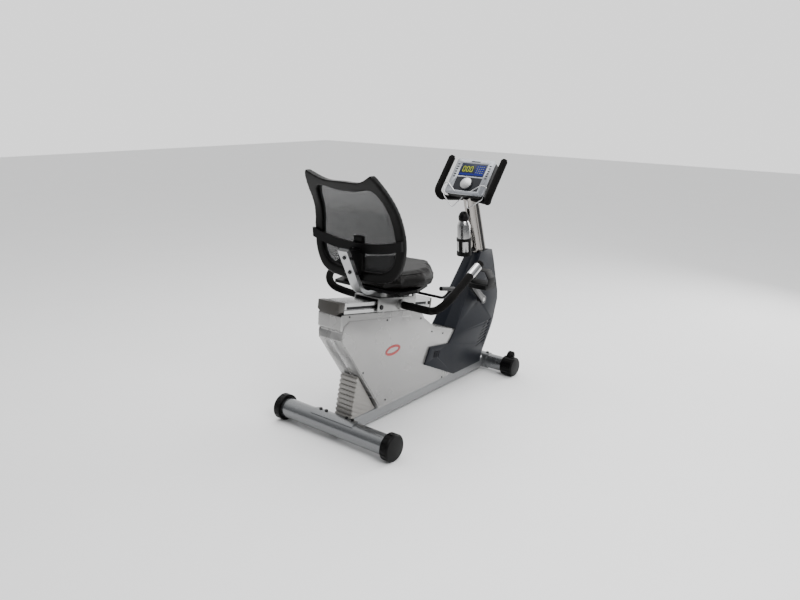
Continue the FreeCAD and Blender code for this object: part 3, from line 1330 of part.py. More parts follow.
def back_outline(rim=0.0):
    """The backrest seen from behind: wide at the lumbar, with rounded horns above."""
    low, wide, tip = S.back_low.value, S.back_half_width.value, S.back_tip_half.value
    high, dip = S.back_tip_height.value, S.back_dip.value
    half = [(0.0, low + rim), (120.0 - rim * 0.4, low + 6 + rim), (190.0 - rim * 0.8, 694.0 + rim * 0.8),
            (wide - 12 - rim, 752.0 + rim * 0.2), (wide - rim, 830.0), (wide - 16 - rim, 950.0),
            (tip + 28 - rim, 1040.0 - rim * 0.4), (tip + 9 - rim * 0.9, high - 26 - rim * 1.1)]
    top = [(tip - 8 - rim * 1.05, high - rim * 1.5)]
    crest = [(tip - 34 - rim, high - 14 - rim * 1.25), (100.0 - rim * 0.9, dip + 4 - rim), (0.0, dip - rim)]
    return half, top, crest


def outline_face(rim):
    half, top, crest = back_outline(rim)

    def line(points):
        curve = Part.BSplineCurve()
        curve.interpolate([Vector(0, y, z) for y, z in points])
        return curve.toShape()

    def flip(points):
        return [(-y, z) for y, z in points[::-1]]

    sides = line(flip(half + top)[:-1] + half + top)
    roof = line([top[0]] + crest + [(-y, z) for y, z in crest[:-1][::-1]] + [(-top[0][0], top[0][1])])
    face = Part.Face(Part.Wire(Part.__sortEdges__([sides, roof])))
    face.translate(Vector(-120, 0, 0))
    return face.extrude(Vector(400, 0, 0))


def backrest():
    """A moulded rim and a mesh stretched inside it."""
    outer, inner = outline_face(0.0), outline_face(S.back_rim.value)
    rim = outer.cut(inner).common(back_sheet(S.back_thick.value))
    spine = Part.makeBox(300, 2 * S.mount_half_width.value, S.mount_high.value - S.mount_low.value + 60,
                         Vector(0, -S.mount_half_width.value, S.back_low.value + 20))
    post = spine.common(back_sheet(S.back_thick.value - 8))
    node("backrest_frame", feature("back_rim_shape", rim.fuse(post)))
    mesh = inner.common(back_sheet(S.mesh_thick.value)).cut(post)
    node("backrest_mesh", feature("back_mesh_sheet", mesh))


def band_box(name, grow, height_grow):
    """The band's slab seen from behind: a bow that hangs lower in the middle."""
    wide = S.back_half_width.value + grow
    tall = S.band_height.value / 2 + height_grow
    end, middle = S.band_end.value, S.band_mid.value
    upper = Part.Arc(Vector(0, -wide, end + tall), Vector(0, 0, middle + tall), Vector(0, wide, end + tall))
    lower = Part.Arc(Vector(0, -wide, end - tall), Vector(0, 0, middle - tall), Vector(0, wide, end - tall))
    sides = [Part.LineSegment(Vector(0, s * wide, end + tall), Vector(0, s * wide, end - tall)) for s in (-1, 1)]
    edges = [item.toShape() for item in [upper, lower] + sides]
    face = Part.Face(Part.Wire(Part.__sortEdges__(edges)))
    face.translate(Vector(-60, 0, 0))
    return face.extrude(Vector(400, 0, 0))


def back_band():
    """A band across the back of the rim, just behind it."""
    slab = back_sheet(S.back_thick.value + 2 * S.band_thick.value).cut(back_sheet(S.back_thick.value))
    behind = Part.makeBox(260, 600, 600, Vector(back_profile(S.band_end.value) - 262, -300, 600))
    shape = slab.common(band_box("band", 0, 0)).common(behind)
    mount = Part.makeBox(400, 2 * S.mount_half_width.value + 1, 400,
                         Vector(-200, -S.mount_half_width.value - 0.5, S.mount_high.value - 395))
    node("back_band", feature("band_shape", shape.cut(mount)))


# ---------------------------------------------------------------- side handles and lever


def handle_route():
    """Right-hand route from the carriage's socket out, back, up and forward."""
    outer = S.rail_width.value / 2 + S.carriage_side_gap.value + S.carriage_plate.value
    x, z = S.boss_station.value, S.boss_height.value
    return [(x, -outer, z), (x, -232.0, z), (272.0, -338.0, z + 44), (534.0, -344.0, z + 190)]


def handle_path():
    return bent_path(handle_route(), 62)


def side_handles():
    route = [Vector(*point) for point in handle_route()]
    radius = S.handle_tube_radius.value
    path = handle_path()
    tube = swept(path, radius, radius - 2)
    node("seat_handles", pair("handle_tubes", feature("handle_tube", tube)))
    end = route[-1]
    along = (end - route[-2]).normalize()
    sensor_start = end - along * (S.sensor_length.value + S.handle_tip.value)
    start = route[0] + Vector(0, -S.boss_length.value - 2, 0)
    foam_points = [start] + route[1:-1] + [sensor_start - along * 1.0]
    foam_path = bent_path([tuple(p) for p in foam_points], 62)
    foam = swept(foam_path, S.handle_foam_radius.value).cut(swept(path, radius))
    ring = Part.makeCylinder(S.sensor_radius.value, S.sensor_length.value, sensor_start, along)
    hole = Part.makeCylinder(radius, S.sensor_length.value + 2, sensor_start - along, along)
    node("pulse_sensors", pair("sensor_sleeves", feature("sensor_sleeve", ring.cut(hole))))
    tip = Part.makeCylinder(S.handle_foam_radius.value, S.handle_tip.value + 6, end - along * S.handle_tip.value,
                            along)
    hole = Part.makeCylinder(radius, S.handle_tip.value, end - along * S.handle_tip.value, along)
    sleeves = Part.makeCompound([foam, tip.cut(hole)])
    node("seat_grips", pair("handle_foams", feature("handle_foam", sleeves)))


def lever_route():
    x, z = lever_axis()
    return [(x, -24.0, z), (x, -221.0, z), (x + 63.0, -227.0, z + 30.0)]


def seat_lever():
    """A bent rod in two lugs, with a short grip that points back."""
    rod = swept(bent_path(lever_route(), 14), 6.0)
    end = Vector(*lever_route()[-1])
    tip = end + Vector(-100, 0, 20)
    along = (tip - end).normalize()
    grip = Part.makeCylinder(9.5, (tip - end).Length, end - along * 8, along)
    cam = Part.makeCylinder(11, 16, Vector(lever_axis()[0] + 3, -54, lever_axis()[1]), Vector(0, 1, 0))
    node("seat_lever", feature("lever_rod", rod.fuse([cam, grip])))


def build():
    base = (rear_stabilizer, rear_end_caps, rear_saddle, base_beam, front_stabilizer,
            front_end_caps, transport_wheels)
    rail = (seat_rail, rail_end_caps, rail_post, strut_cover)
    drive = (front_frame, crank_bearings, crank_axle, drive_pulley, pedal_spindles, flywheel,
             flywheel_axle, drive_belt, brackets, magnet_arm)
    upper = (mast, console, jog_dial, upper_handlebar, upper_grips, page_holder, bottle, bottle_cage)
    seating = (seat_carriage, carriage_glides, seat_bracket, back_mount, seat_bolts,
               seat, backrest, back_band, side_handles, seat_lever)
    for make in base + rail + drive + upper + seating:
        make()
    for side in (-1, 1):
        shroud_half(side)
        column_cover(side)
    frame_screws()
    for side, word in ((-1, "right"), (1, "left")):
        crank_arm(side, f"crank_arm_{word}")
        pedal(-side, f"pedal_{word}")


def check():
    """Stops the build if any feature failed or any sub-part isn't a sound solid."""
    doc.recompute()
    for item in doc.Objects:
        if {"Invalid", "Error"} & set(item.State):
            raise RuntimeError(f"{item.Name} ({item.Label}): {item.State}")
    for part in parts:
        if part.Shape.isNull() or not part.Shape.isValid() or not part.Shape.Solids:
            raise RuntimeError(f"{part.Label} is not a valid solid")


def write():
    os.makedirs("parts", exist_ok=True)
    for part in parts:
        part.Shape.exportStep(f"parts/{part.Label}.step")


build()
check()
write()
print(len(parts), "sub-parts written")
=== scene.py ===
import bpy
import bmesh
import json
import math
from mathutils import Matrix, Vector

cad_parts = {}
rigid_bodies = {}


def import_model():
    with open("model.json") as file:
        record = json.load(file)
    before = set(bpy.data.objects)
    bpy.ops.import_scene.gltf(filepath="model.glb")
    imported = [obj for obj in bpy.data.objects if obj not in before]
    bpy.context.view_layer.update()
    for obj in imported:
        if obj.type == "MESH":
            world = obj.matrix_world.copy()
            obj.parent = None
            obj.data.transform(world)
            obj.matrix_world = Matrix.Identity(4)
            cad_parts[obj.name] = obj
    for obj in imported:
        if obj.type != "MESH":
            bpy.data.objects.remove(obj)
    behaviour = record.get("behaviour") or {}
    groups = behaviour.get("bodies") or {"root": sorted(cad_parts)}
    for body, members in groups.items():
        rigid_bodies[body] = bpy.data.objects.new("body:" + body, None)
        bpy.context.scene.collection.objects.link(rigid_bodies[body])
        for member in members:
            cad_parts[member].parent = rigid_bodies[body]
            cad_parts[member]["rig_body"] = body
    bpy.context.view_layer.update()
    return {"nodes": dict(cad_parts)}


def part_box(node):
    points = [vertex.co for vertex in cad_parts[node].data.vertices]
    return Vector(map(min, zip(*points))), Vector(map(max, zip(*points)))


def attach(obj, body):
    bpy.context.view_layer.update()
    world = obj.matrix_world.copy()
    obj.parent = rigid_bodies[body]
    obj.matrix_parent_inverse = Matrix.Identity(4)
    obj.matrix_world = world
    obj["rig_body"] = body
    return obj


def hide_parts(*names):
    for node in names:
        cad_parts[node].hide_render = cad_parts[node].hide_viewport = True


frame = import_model()
nodes = frame["nodes"]
print("frame loaded:", len(nodes), "nodes")


# shader maths: a wrapped socket that adds Math nodes when it is used in a sum

class Flow:
    def __init__(self, paint, socket):
        self.paint = paint
        self.socket = socket

    def sum(self, operation, first, second):
        return self.paint.node("Math", {"operation": operation}, {0: first, 1: second})

    def __add__(self, other):
        return self.sum("ADD", self, other)

    def __radd__(self, other):
        return self.sum("ADD", other, self)

    def __sub__(self, other):
        return self.sum("SUBTRACT", self, other)

    def __rsub__(self, other):
        return self.sum("SUBTRACT", other, self)

    def __mul__(self, other):
        return self.sum("MULTIPLY", self, other)

    def __rmul__(self, other):
        return self.sum("MULTIPLY", other, self)

    def __truediv__(self, other):
        return self.sum("DIVIDE", self, other)

    def __gt__(self, other):
        return self.sum("GREATER_THAN", self, other)

    def __lt__(self, other):
        return self.sum("LESS_THAN", self, other)


class Paint:
    def __init__(self, name, **shader):
        self.material = bpy.data.materials.new(name)
        self.material.use_nodes = True
        self.tree = self.material.node_tree
        self.shader = next(n for n in self.tree.nodes if n.type == "BSDF_PRINCIPLED")
        for socket, amount in shader.items():
            self.shader.inputs[socket.replace("_", " ")].default_value = amount

    def node(self, kind, settings=None, inputs=None, out=0):
        made = self.tree.nodes.new("ShaderNode" + kind)
        for key, setting in (settings or {}).items():
            if key == "stops":
                ramp = made.color_ramp
                while len(ramp.elements) < len(setting):
                    ramp.elements.new(0.5)
                for element, (place, colour) in zip(ramp.elements, setting):
                    element.position = place
                    element.color = colour
            else:
                setattr(made, key, setting)
        for key, amount in (inputs or {}).items():
            socket = made.inputs[key]
            if isinstance(amount, Flow):
                self.tree.links.new(amount.socket, socket)
            else:
                socket.default_value = amount
        return Flow(self, made.outputs[out])

    def feed(self, socket, flow):
        self.tree.links.new(flow.socket, self.shader.inputs[socket])

    def place(self, stretch=(1, 1, 1)):
        spot = self.node("TexCoord", out="Object")
        return self.node("Mapping", {"vector_type": "POINT"}, {"Vector": spot, "Scale": stretch})

    def noise(self, scale, detail=3, stretch=(1, 1, 1)):
        return self.node("TexNoise", None, {"Vector": self.place(stretch), "Scale": scale, "Detail": detail})

    def cells(self, scale, stretch=(1, 1, 1)):
        return self.node("TexVoronoi", None, {"Vector": self.place(stretch), "Scale": scale})

    def blend(self, amount, first, second):
        return self.node("Mix", {"data_type": "RGBA"}, {0: amount, 6: first, 7: second}, out=2)

    def bump(self, height, strength=0.2, distance=0.001):
        self.feed("Normal", self.node("Bump", None, {"Height": height, "Strength": strength,
                                                     "Distance": distance}))


def shade(colour, factor):
    return tuple(min(1, part * factor) for part in colour[:3]) + (1,)


def plastic(name, colour, rough, grain=900, depth=0.12, **shader):
    # moulded plastic: fine spark-eroded grain with slow changes of gloss
    paint = Paint(name, **shader)
    cloud = paint.noise(9, 4)
    fine = paint.cells(grain)
    paint.feed("Base Color", paint.blend(cloud, shade(colour, 0.86), shade(colour, 1.14)))
    paint.feed("Roughness", cloud * 0.16 + fine * 0.05 + (rough - 0.1))
    paint.bump(fine * 0.6 + paint.noise(grain * 0.6) * 0.4, depth, 0.0004)
    return paint.material


def metal(name, colour, rough, streak=(1, 1, 1), scale=240, wear=0.12, **shader):
    # drawn or turned metal: streaks along the grain and faint handling marks
    paint = Paint(name, Metallic=1.0, **shader)
    lines = paint.noise(scale, 3, streak)
    marks = paint.noise(14, 5)
    paint.feed("Base Color", paint.blend(lines, shade(colour, 0.9), shade(colour, 1.08)))
    paint.feed("Roughness", lines * wear + marks * wear + (rough - wear))
    paint.bump(lines, 0.05, 0.0003)
    return paint.material


def coated(name, colour, rough, metallic, flake=2600, **shader):
    # sprayed coat: metal flake under a clear layer, with light orange peel
    paint = Paint(name, Metallic=metallic, Coat_Weight=0.35, Coat_Roughness=0.12, **shader)
    spark = paint.cells(flake)
    cloud = paint.noise(6, 3)
    paint.feed("Base Color", paint.blend(spark * 0.7 + cloud * 0.3, shade(colour, 0.84), shade(colour, 1.16)))
    paint.feed("Roughness", cloud * 0.12 + (rough - 0.06))
    paint.bump(paint.noise(260, 2), 0.05, 0.0006)
    return paint.material


def foam(name, colour):
    paint = Paint(name, Specular_IOR_Level=0.12)
    pores = paint.cells(1100)
    cloud = paint.noise(40, 4)
    paint.feed("Base Color", paint.blend(cloud * 0.6 + pores * 0.4, shade(colour, 0.65), shade(colour, 1.35)))
    paint.feed("Roughness", cloud * 0.14 + 0.8)
    paint.bump(pores + paint.noise(600) * 0.5, 0.45, 0.0008)
    return paint.material


def vinyl(name, colour):
    paint = Paint(name, Specular_IOR_Level=0.16)
    creases = paint.cells(420)
    cloud = paint.noise(11, 5)
    paint.feed("Base Color", paint.blend(cloud, shade(colour, 0.75), shade(colour, 1.25)))
    paint.feed("Roughness", cloud * 0.18 + creases * 0.06 + 0.36)
    paint.bump(creases * 0.7 + paint.noise(900) * 0.3, 0.35, 0.0007)
    return paint.material


def openMesh(name, colour):
    # knitted mesh: rows of small holes, with the yarn a little raised
    paint = Paint(name, Specular_IOR_Level=0.2)
    spot = paint.node("SeparateXYZ", None, {"Vector": paint.place()}, out=1)
    tall = paint.node("SeparateXYZ", None, {"Vector": paint.place()}, out=2)
    across = paint.node("Math", {"operation": "SINE"}, {0: spot * (2 * math.pi / 0.0036)})
    upward = paint.node("Math", {"operation": "SINE"}, {0: tall * (2 * math.pi / 0.0046)})
    weave = across * upward
    cloud = paint.noise(22, 4)
    paint.feed("Base Color", paint.blend(cloud, shade(colour, 0.8), shade(colour, 1.2)))
    paint.feed("Roughness", cloud * 0.1 + 0.75)
    paint.feed("Alpha", 1 - (weave > 0.05) * 0.85)
    paint.bump(weave, 0.3, 0.0006)
    return paint.material


def lcdGlass(name):
    paint = Paint(name, Coat_Weight=0.1, Coat_Roughness=0.05, Specular_IOR_Level=0.15)
    cloud = paint.noise(30, 3)
    paint.feed("Base Color", paint.blend(cloud, (0.004, 0.008, 0.02, 1), (0.008, 0.016, 0.04, 1)))
    paint.feed("Roughness", cloud * 0.05 + 0.08)
    return paint.material


def glow(name, colour, strength):
    paint = Paint(name, Emission_Strength=strength, Specular_IOR_Level=0.1)
    grain = paint.noise(500, 2)
    paint.feed("Base Color", paint.blend(grain, shade(colour, 0.5), shade(colour, 0.7)))
    paint.feed("Emission Color", paint.blend(grain, shade(colour, 0.85), shade(colour, 1.1)))
    paint.feed("Roughness", grain * 0.1 + 0.4)
    return paint.material


def ground(name):
    paint = Paint(name)
    paint.feed("Base Color", paint.blend(paint.noise(3, 3), (0.9, 0.9, 0.9, 1), (0.93, 0.93, 0.93, 1)))
    paint.feed("Roughness", paint.noise(20, 3) * 0.1 + 0.6)
    return paint.material


dull = {"Specular_IOR_Level": 0.2}
finish = {
    "steelPaint": coated("steelPaint", (0.17, 0.175, 0.18), 0.26, 0.85),
    "beamPaint": coated("beamPaint", (0.24, 0.245, 0.25), 0.32, 0.7),
    "carriagePaint": coated("carriagePaint", (0.24, 0.24, 0.235), 0.32, 0.6),
    "shroudSilver": coated("shroudSilver", (0.3, 0.297, 0.292), 0.26, 0.5),
    "gaiterSilver": coated("gaiterSilver", (0.26, 0.25, 0.235), 0.36, 0.4),
    "bezelSilver": coated("bezelSilver", (0.24, 0.25, 0.27), 0.28, 0.5),
    "framePaint": coated("framePaint", (0.006, 0.006, 0.007), 0.4, 0.1),
    "railAluminium": metal("railAluminium", (0.42, 0.42, 0.42), 0.26, (0.03, 1, 1)),
    "mastAluminium": metal("mastAluminium", (0.3, 0.285, 0.27), 0.22, (1, 1, 0.03)),
    "bottleAluminium": metal("bottleAluminium", (0.36, 0.36, 0.36), 0.22, (1, 1, 0.06)),
    "chromePlate": metal("chromePlate", (0.55, 0.55, 0.56), 0.1, (1, 1, 1), 60, 0.05),
    "brightSteel": metal("brightSteel", (0.4, 0.4, 0.4), 0.3, (1, 0.2, 1)),
    "bracketSteel": metal("bracketSteel", (0.4, 0.405, 0.41), 0.32, (1, 0.1, 1)),
    "darkSteel": metal("darkSteel", (0.02, 0.02, 0.021), 0.4),
    "castIron": metal("castIron", (0.12, 0.12, 0.13), 0.45, (1, 0.1, 1), 500),
    "blackPlastic": plastic("blackPlastic", (0.0016, 0.0016, 0.0017), 0.44, Specular_IOR_Level=0.12),
    "pulleyPlastic": plastic("pulleyPlastic", (0.012, 0.012, 0.013), 0.42, **dull),
    "columnPlastic": plastic("columnPlastic", (0.007, 0.0085, 0.0125), 0.4, Specular_IOR_Level=0.16),
    "capPlastic": plastic("capPlastic", (0.0016, 0.0016, 0.0017), 0.42, Specular_IOR_Level=0.12),
    "railCapPlastic": plastic("railCapPlastic", (0.045, 0.042, 0.038), 0.4, Specular_IOR_Level=0.35),
    "rimPlastic": plastic("rimPlastic", (0.0014, 0.0013, 0.0012), 0.36, Specular_IOR_Level=0.12),
    "panelPlastic": plastic("panelPlastic", (0.008, 0.009, 0.012), 0.5, 400, 0.4, **dull),
    "nylon": plastic("nylon", (0.5, 0.5, 0.47), 0.4),
    "boardLacquer": plastic("boardLacquer", (0.02, 0.12, 0.05), 0.35),
    "beltRubber": foam("beltRubber", (0.006, 0.006, 0.006)),
    "wheelRubber": foam("wheelRubber", (0.005, 0.005, 0.005)),
    "gripFoam": foam("gripFoam", (0.0026, 0.0023, 0.0021)),
    "seatVinyl": vinyl("seatVinyl", (0.003, 0.0026, 0.0023)),
    "backMesh": openMesh("backMesh", (0.016, 0.0165, 0.0175)),
    "lcdGlass": lcdGlass("lcdGlass"),
    "lcdBlue": glow("lcdBlue", (0.004, 0.012, 0.2), 0.22),
    "lcdDigits": glow("lcdDigits", (0.5, 0.56, 0.008), 0.4),
    "badgeRed": coated("badgeRed", (0.3, 0.004, 0.006), 0.3, 0.1),
}

carried = {
    "steelPaint": "rear_stabilizer front_stabilizer rear_saddle",
    "beamPaint": "base_beam",
        "framePaint": "rail_post front_frame drive_brackets",
    "railAluminium": "seat_rail magnet_arm",
    "mastAluminium": "mast",
    "chromePlate": "page_holder pulse_sensors seat_handles",
    "capPlastic": "upper_handlebar",
    "brightSteel": "crank_axle pedal_spindles flywheel_axle crank_bearings",
    "bracketSteel": "seat_bracket",
    "darkSteel": "frame_screws seat_bolts seat_lever",
    "castIron": "flywheel",
    "blackPlastic": "brake_motor bottle_cage back_band seat_pan",
    "nylon": "carriage_glides",
    "boardLacquer": "console_board",
    "beltRubber": "drive_belt",
    "wheelRubber": "wheel_right wheel_left",
    "pulleyPlastic": "drive_pulley idler_pulley",
    "lcdGlass": "console_screen",
    "panelPlastic": "console_panel",
}
for finishName, members in carried.items():
    for member in members.split():
        data = nodes[member].data
        data.materials.clear()
        data.materials.append(finish[finishName])
print("materials made:", len(finish))


# helpers for new pieces

def bodyOf(node):
    return nodes[node]["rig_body"]


def piece(name, mesh, finishName, body):
    thing = bpy.data.objects.new(name, mesh)
    bpy.context.scene.collection.objects.link(thing)
    mesh.materials.clear()
    mesh.materials.append(finish[finishName])
    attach(thing, body)
    return thing


def cleanCopy(node, name, flat=0.6):
    # a node's mesh with its doubles merged and its flat areas joined
    bm = bmesh.new()
    bm.from_mesh(nodes[node].data)
    bmesh.ops.remove_doubles(bm, verts=bm.verts, dist=0.00002)
    bmesh.ops.dissolve_limit(bm, angle_limit=math.radians(flat), verts=bm.verts, edges=bm.edges)
    mesh = bpy.data.meshes.new(name)
    bm.to_mesh(mesh)
    bm.free()
    return mesh


def bake(thing):
    # puts the modifiers' result in the mesh
    graph = bpy.context.evaluated_depsgraph_get()
    mesh = bpy.data.meshes.new_from_object(thing.evaluated_get(graph))
    old = thing.data
    thing.modifiers.clear()
    thing.data = mesh
    bpy.data.meshes.remove(old)
    return thing


def smooth(thing, angle=35):
    for face in thing.data.polygons:
        face.use_smooth = True
    for edge in thing.data.edges:
        edge.use_edge_sharp = False
    bm = bmesh.new()
    bm.from_mesh(thing.data)
    for edge in bm.edges:
        if len(edge.link_faces) == 2 and edge.calc_face_angle(0) > math.radians(angle):
            edge.smooth = False
    bm.to_mesh(thing.data)
    bm.free()


def softEdge(node, name, finishName, width=0.0015, segments=2, angle=32):
    # the same shape with its sharp edges rounded, as moulded or worked
    thing = piece(name, cleanCopy(node, name), finishName, bodyOf(node))
    bevel = thing.modifiers.new("round", "BEVEL")
    bevel.width = width
    bevel.segments = segments
    bevel.limit_method = "ANGLE"
    bevel.angle_limit = math.radians(angle)
    bevel.use_clamp_overlap = True
    bake(thing)
    smooth(thing, 50)
    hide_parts(node)
    return thing


def remeshed(node, name, finishName, voxel, rounds, levels=1, settle=0.5):
    # a soft or moulded piece: the node's shape remeshed, relaxed and subdivided
    thing = piece(name, cleanCopy(node, name, 0.01), finishName, bodyOf(node))
    remesh = thing.modifiers.new("remesh", "REMESH")
    remesh.mode = "VOXEL"
    remesh.voxel_size = voxel
    bake(thing)
    bm = bmesh.new()
    bm.from_mesh(thing.data)
    for _ in range(rounds):
        bmesh.ops.smooth_vert(bm, verts=bm.verts, factor=settle, use_axis_x=True, use_axis_y=True,
                              use_axis_z=True)
    bm.to_mesh(thing.data)
    bm.free()
    if levels:
        divide = thing.modifiers.new("divide", "SUBSURF")
        divide.levels = levels
        divide.render_levels = levels
        bake(thing)
    for face in thing.data.polygons:
        face.use_smooth = True
    thing.data.materials.clear()
    thing.data.materials.append(finish[finishName])
    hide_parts(node)
    return thing


# CAD nodes whose sharp edges are rounded: node, the new piece, its finish and the edge's width

moulded = (
    ("shroud_right", "shroudRight", "shroudSilver", 0.0022),
    ("shroud_left", "shroudLeft", "shroudSilver", 0.0022),
    ("column_cover_right", "columnRight", "columnPlastic", 0.0025),
    ("column_cover_left", "columnLeft", "columnPlastic", 0.0025),
    ("strut_cover", "strutGaiter", "gaiterSilver", 0.0008),
    ("rear_end_caps", "rearCaps", "capPlastic", 0.0012),
    ("front_end_caps", "frontCaps", "capPlastic", 0.0012),
    ("rail_end_caps", "railCaps", "railCapPlastic", 0.003),
    ("seat_carriage", "carriage", "carriagePaint", 0.0012),
    ("crank_arm_right", "crankRight", "framePaint", 0.002),
    ("crank_arm_left", "crankLeft", "framePaint", 0.002),
    ("pedal_right", "pedalRight", "blackPlastic", 0.001),
    ("pedal_left", "pedalLeft", "blackPlastic", 0.001),
    ("console_housing", "consoleHousing", "blackPlastic", 0.002),
    ("console_face", "consoleBezel", "bezelSilver", 0.002),
    ("jog_dial", "jogDial", "brightSteel", 0.0016),
    ("back_mount", "backMount", "blackPlastic", 0.003),
    ("bottle", "bottleBody", "bottleAluminium", 0.003),
    ("bottle_cap", "bottleLid", "blackPlastic", 0.003),
)
for node, name, finishName, width in moulded:
    softEdge(node, name, finishName, width)
print("moulded pieces made")

foamed = {"rim": {"voxel": 0.004, "rounds": 6}, "grip": {"voxel": 0.0025, "rounds": 3}}
remeshed("backrest_frame", "backRim", "rimPlastic", foamed["rim"]["voxel"], foamed["rim"]["rounds"])
for node, name in (("seat_grips", "handleFoam"), ("upper_grips", "gripSleeves")):
    grip = remeshed(node, name, "gripFoam", foamed["grip"]["voxel"], foamed["grip"]["rounds"], 0)
print("rim and foam grips made")


# seat cushion: a faceted pad with cut corners, widest at a crease half-way up, blown up and then seamed

cushion = {"corner": 0.075, "front": 0.13, "rings": ((0.0, 0.925), (0.1, 0.965), (0.42, 1.0), (0.8, 0.93),
           (0.95, 0.885), (1.0, 0.82)), "shrink": 0.003, "voxel": 0.005, "pressure": 3.0, "frames": 20,
           "cap": 0.005, "seam": 0.0019, "step": 0.012}
padLow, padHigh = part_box("seat_cushion")
padMiddle = (padLow + padHigh) / 2


def padOutline():
    # half the plan outline from the front to the rear, then its mirror image
    reach, half = (padHigh.x - padLow.x) / 2, (padHigh.y - padLow.y) / 2
    corner, front = cushion["corner"], cushion["front"]
    side = [(reach, half - front), (reach - corner * 0.8, half - corner * 0.92),
            (reach - corner * 2, half * 0.97), (reach - corner * 2.9, half),
            (-reach + corner * 1.6, half * 0.97), (-reach + corner * 0.5, half * 0.82), (-reach, half * 0.5)]
    return side + [(x, -y) for x, y in reversed(side)]


def padRing(level, scale):
    z = padLow.z + 0.0003 + (padHigh.z - padLow.z - 0.001 - cushion["shrink"]) * level
    inset = 1 - cushion["shrink"] / 0.2
    return [Vector((padMiddle.x + x * scale * inset, y * scale * inset, z)) for x, y in padOutline()]


def startPad(name):
    bm = bmesh.new()
    rings = [[bm.verts.new(spot) for spot in padRing(level, scale)] for level, scale in cushion["rings"]]
    bm.faces.new(rings[0][::-1])
    bm.faces.new(rings[-1])
    count = len(rings[0])
    for lower, upper in zip(rings, rings[1:]):
        for i in range(count):
            after = (i + 1) % count
            bm.faces.new((lower[i], lower[after], upper[after], upper[i]))
    bmesh.ops.recalc_face_normals(bm, faces=bm.faces)
    mesh = bpy.data.meshes.new(name)
    bm.to_mesh(mesh)
    bm.free()
    return mesh


def inflate(thing):
    start = [v.co.copy() for v in thing.data.vertices]
    cloth = thing.modifiers.new("cloth", "CLOTH")
    cloth.settings.use_pressure = True
    cloth.settings.uniform_pressure_force = cushion["pressure"]
    cloth.settings.effector_weights.gravity = 0
    cloth.point_cache.frame_start = 1
    cloth.point_cache.frame_end = cushion["frames"]
    for step in range(1, cushion["frames"] + 1):
        bpy.context.scene.frame_set(step)
    bake(thing)
    for vertex, begin in zip(thing.data.vertices, start):
        move = vertex.co - begin
        if move.length > cushion["cap"]:
            vertex.co = begin + move.normalized() * cushion["cap"]
    bpy.context.scene.frame_set(1)


pad = piece("seatPad", startPad("seatPad"), "seatVinyl", "seat")
remesh = pad.modifiers.new("remesh", "REMESH")
remesh.mode = "VOXEL"
remesh.voxel_size = cushion["voxel"]
bake(pad)
inflate(pad)
for vertex in pad.data.vertices:
    vertex.co.z = max(vertex.co.z, padLow.z + 0.0002)
divide = pad.modifiers.new("divide", "SUBSURF")
divide.levels = 1
divide.render_levels = 1
bake(pad)
pad.data.materials.clear()
pad.data.materials.append(finish["seatVinyl"])
for face in pad.data.polygons:
    face.use_smooth = True
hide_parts("seat_cushion")
print("seat cushion made")


def tubeAlong(name, samples, radius, finishName, body, closed=True):
    curve = bpy.data.curves.new(name, "CURVE")
    curve.dimensions = "3D"
    curve.bevel_depth = radius
    curve.bevel_resolution = 2
    line = curve.splines.new("POLY")
    line.points.add(len(samples) - 1)
    for spot, sample in zip(line.points, samples):
        spot.co = (*sample, 1)
    line.use_cyclic_u = closed
    holder = bpy.data.objects.new(name + "Line", curve)
    bpy.context.scene.collection.objects.link(holder)
    graph = bpy.context.evaluated_depsgraph_get()
    mesh = bpy.data.meshes.new_from_object(holder.evaluated_get(graph))
    bpy.data.objects.remove(holder)
    thing = piece(name, mesh, finishName, body)
    for face in mesh.polygons:
        face.use_smooth = True
    return thing


def seam(name, surface, level, scale):
    # a seam cord along one ring of the pad, laid on its surface
    ring = padRing(level, scale)
    samples = []
    for first, second in zip(ring, ring[1:] + ring[:1]):
        count = max(2, int((second - first).length / cushion["step"]))
        for i in range(count):
            _, spot, normal, _ = surface.closest_point_on_mesh(first.lerp(second, i / count))
            samples.append(spot + normal * cushion["seam"] * 0.2)
    return tubeAlong(name, samples, cushion["seam"], "seatVinyl", "seat")


bpy.context.view_layer.update()
seam("padCrease", pad, *cushion["rings"][2])
seam("padTopSeam", pad, *cushion["rings"][4])
print("seams made")


# open mesh of the backrest: the node's sheet copied as one piece and shaded smooth

meshSheet = piece("backNet", cleanCopy("backrest_mesh", "backNet", 0.01), "backMesh", "seat")
for face in meshSheet.data.polygons:
    face.use_smooth = True
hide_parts("backrest_mesh")


# console: digits on the screen, a blue band round it and keys beside it

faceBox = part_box("console_face")
console = {"tilt": 52.8, "bezel": 0.008, "digitHeight": 0.028, "digitWidth": 0.0125, "stroke": 0.0034,
           "firstDigit": (0.05, 0.141), "digitStep": 0.021, "gap": 0.86, "printed": 0.0004, "sunk": -0.0002,
           "blue": ((-0.041, 0.136, 0.05, 0.056), (0.028, 0.112, 0.084, 0.01)),
           "firstMark": (-0.024, 0.156), "markStep": 0.011, "mark": (0.006, 0.0016), "markLift": 0.0001,
           "firstKey": (0.09, 0.165), "keyStep": 0.014, "key": (0.012, 0.006), "keyThick": 0.0012,
           "topMark": (0, 0.184, 0.05, 0.005), "topThick": 0.0008, "keyLift": 0.0002}
tilt = math.radians(console["tilt"])
up = Vector((math.cos(tilt), 0, math.sin(tilt)))
out = Vector((-math.sin(tilt), 0, math.cos(tilt)))
faceFoot = Vector((faceBox[0].x, 0, faceBox[0].z + console["bezel"] * math.cos(tilt)))
faceTurn = Matrix((Vector((0, -1, 0)), up, out)).transposed().to_4x4()


def onFace(across, height, lift=0.0):
    return faceFoot + Vector((0, across, 0)) + up * height + out * lift


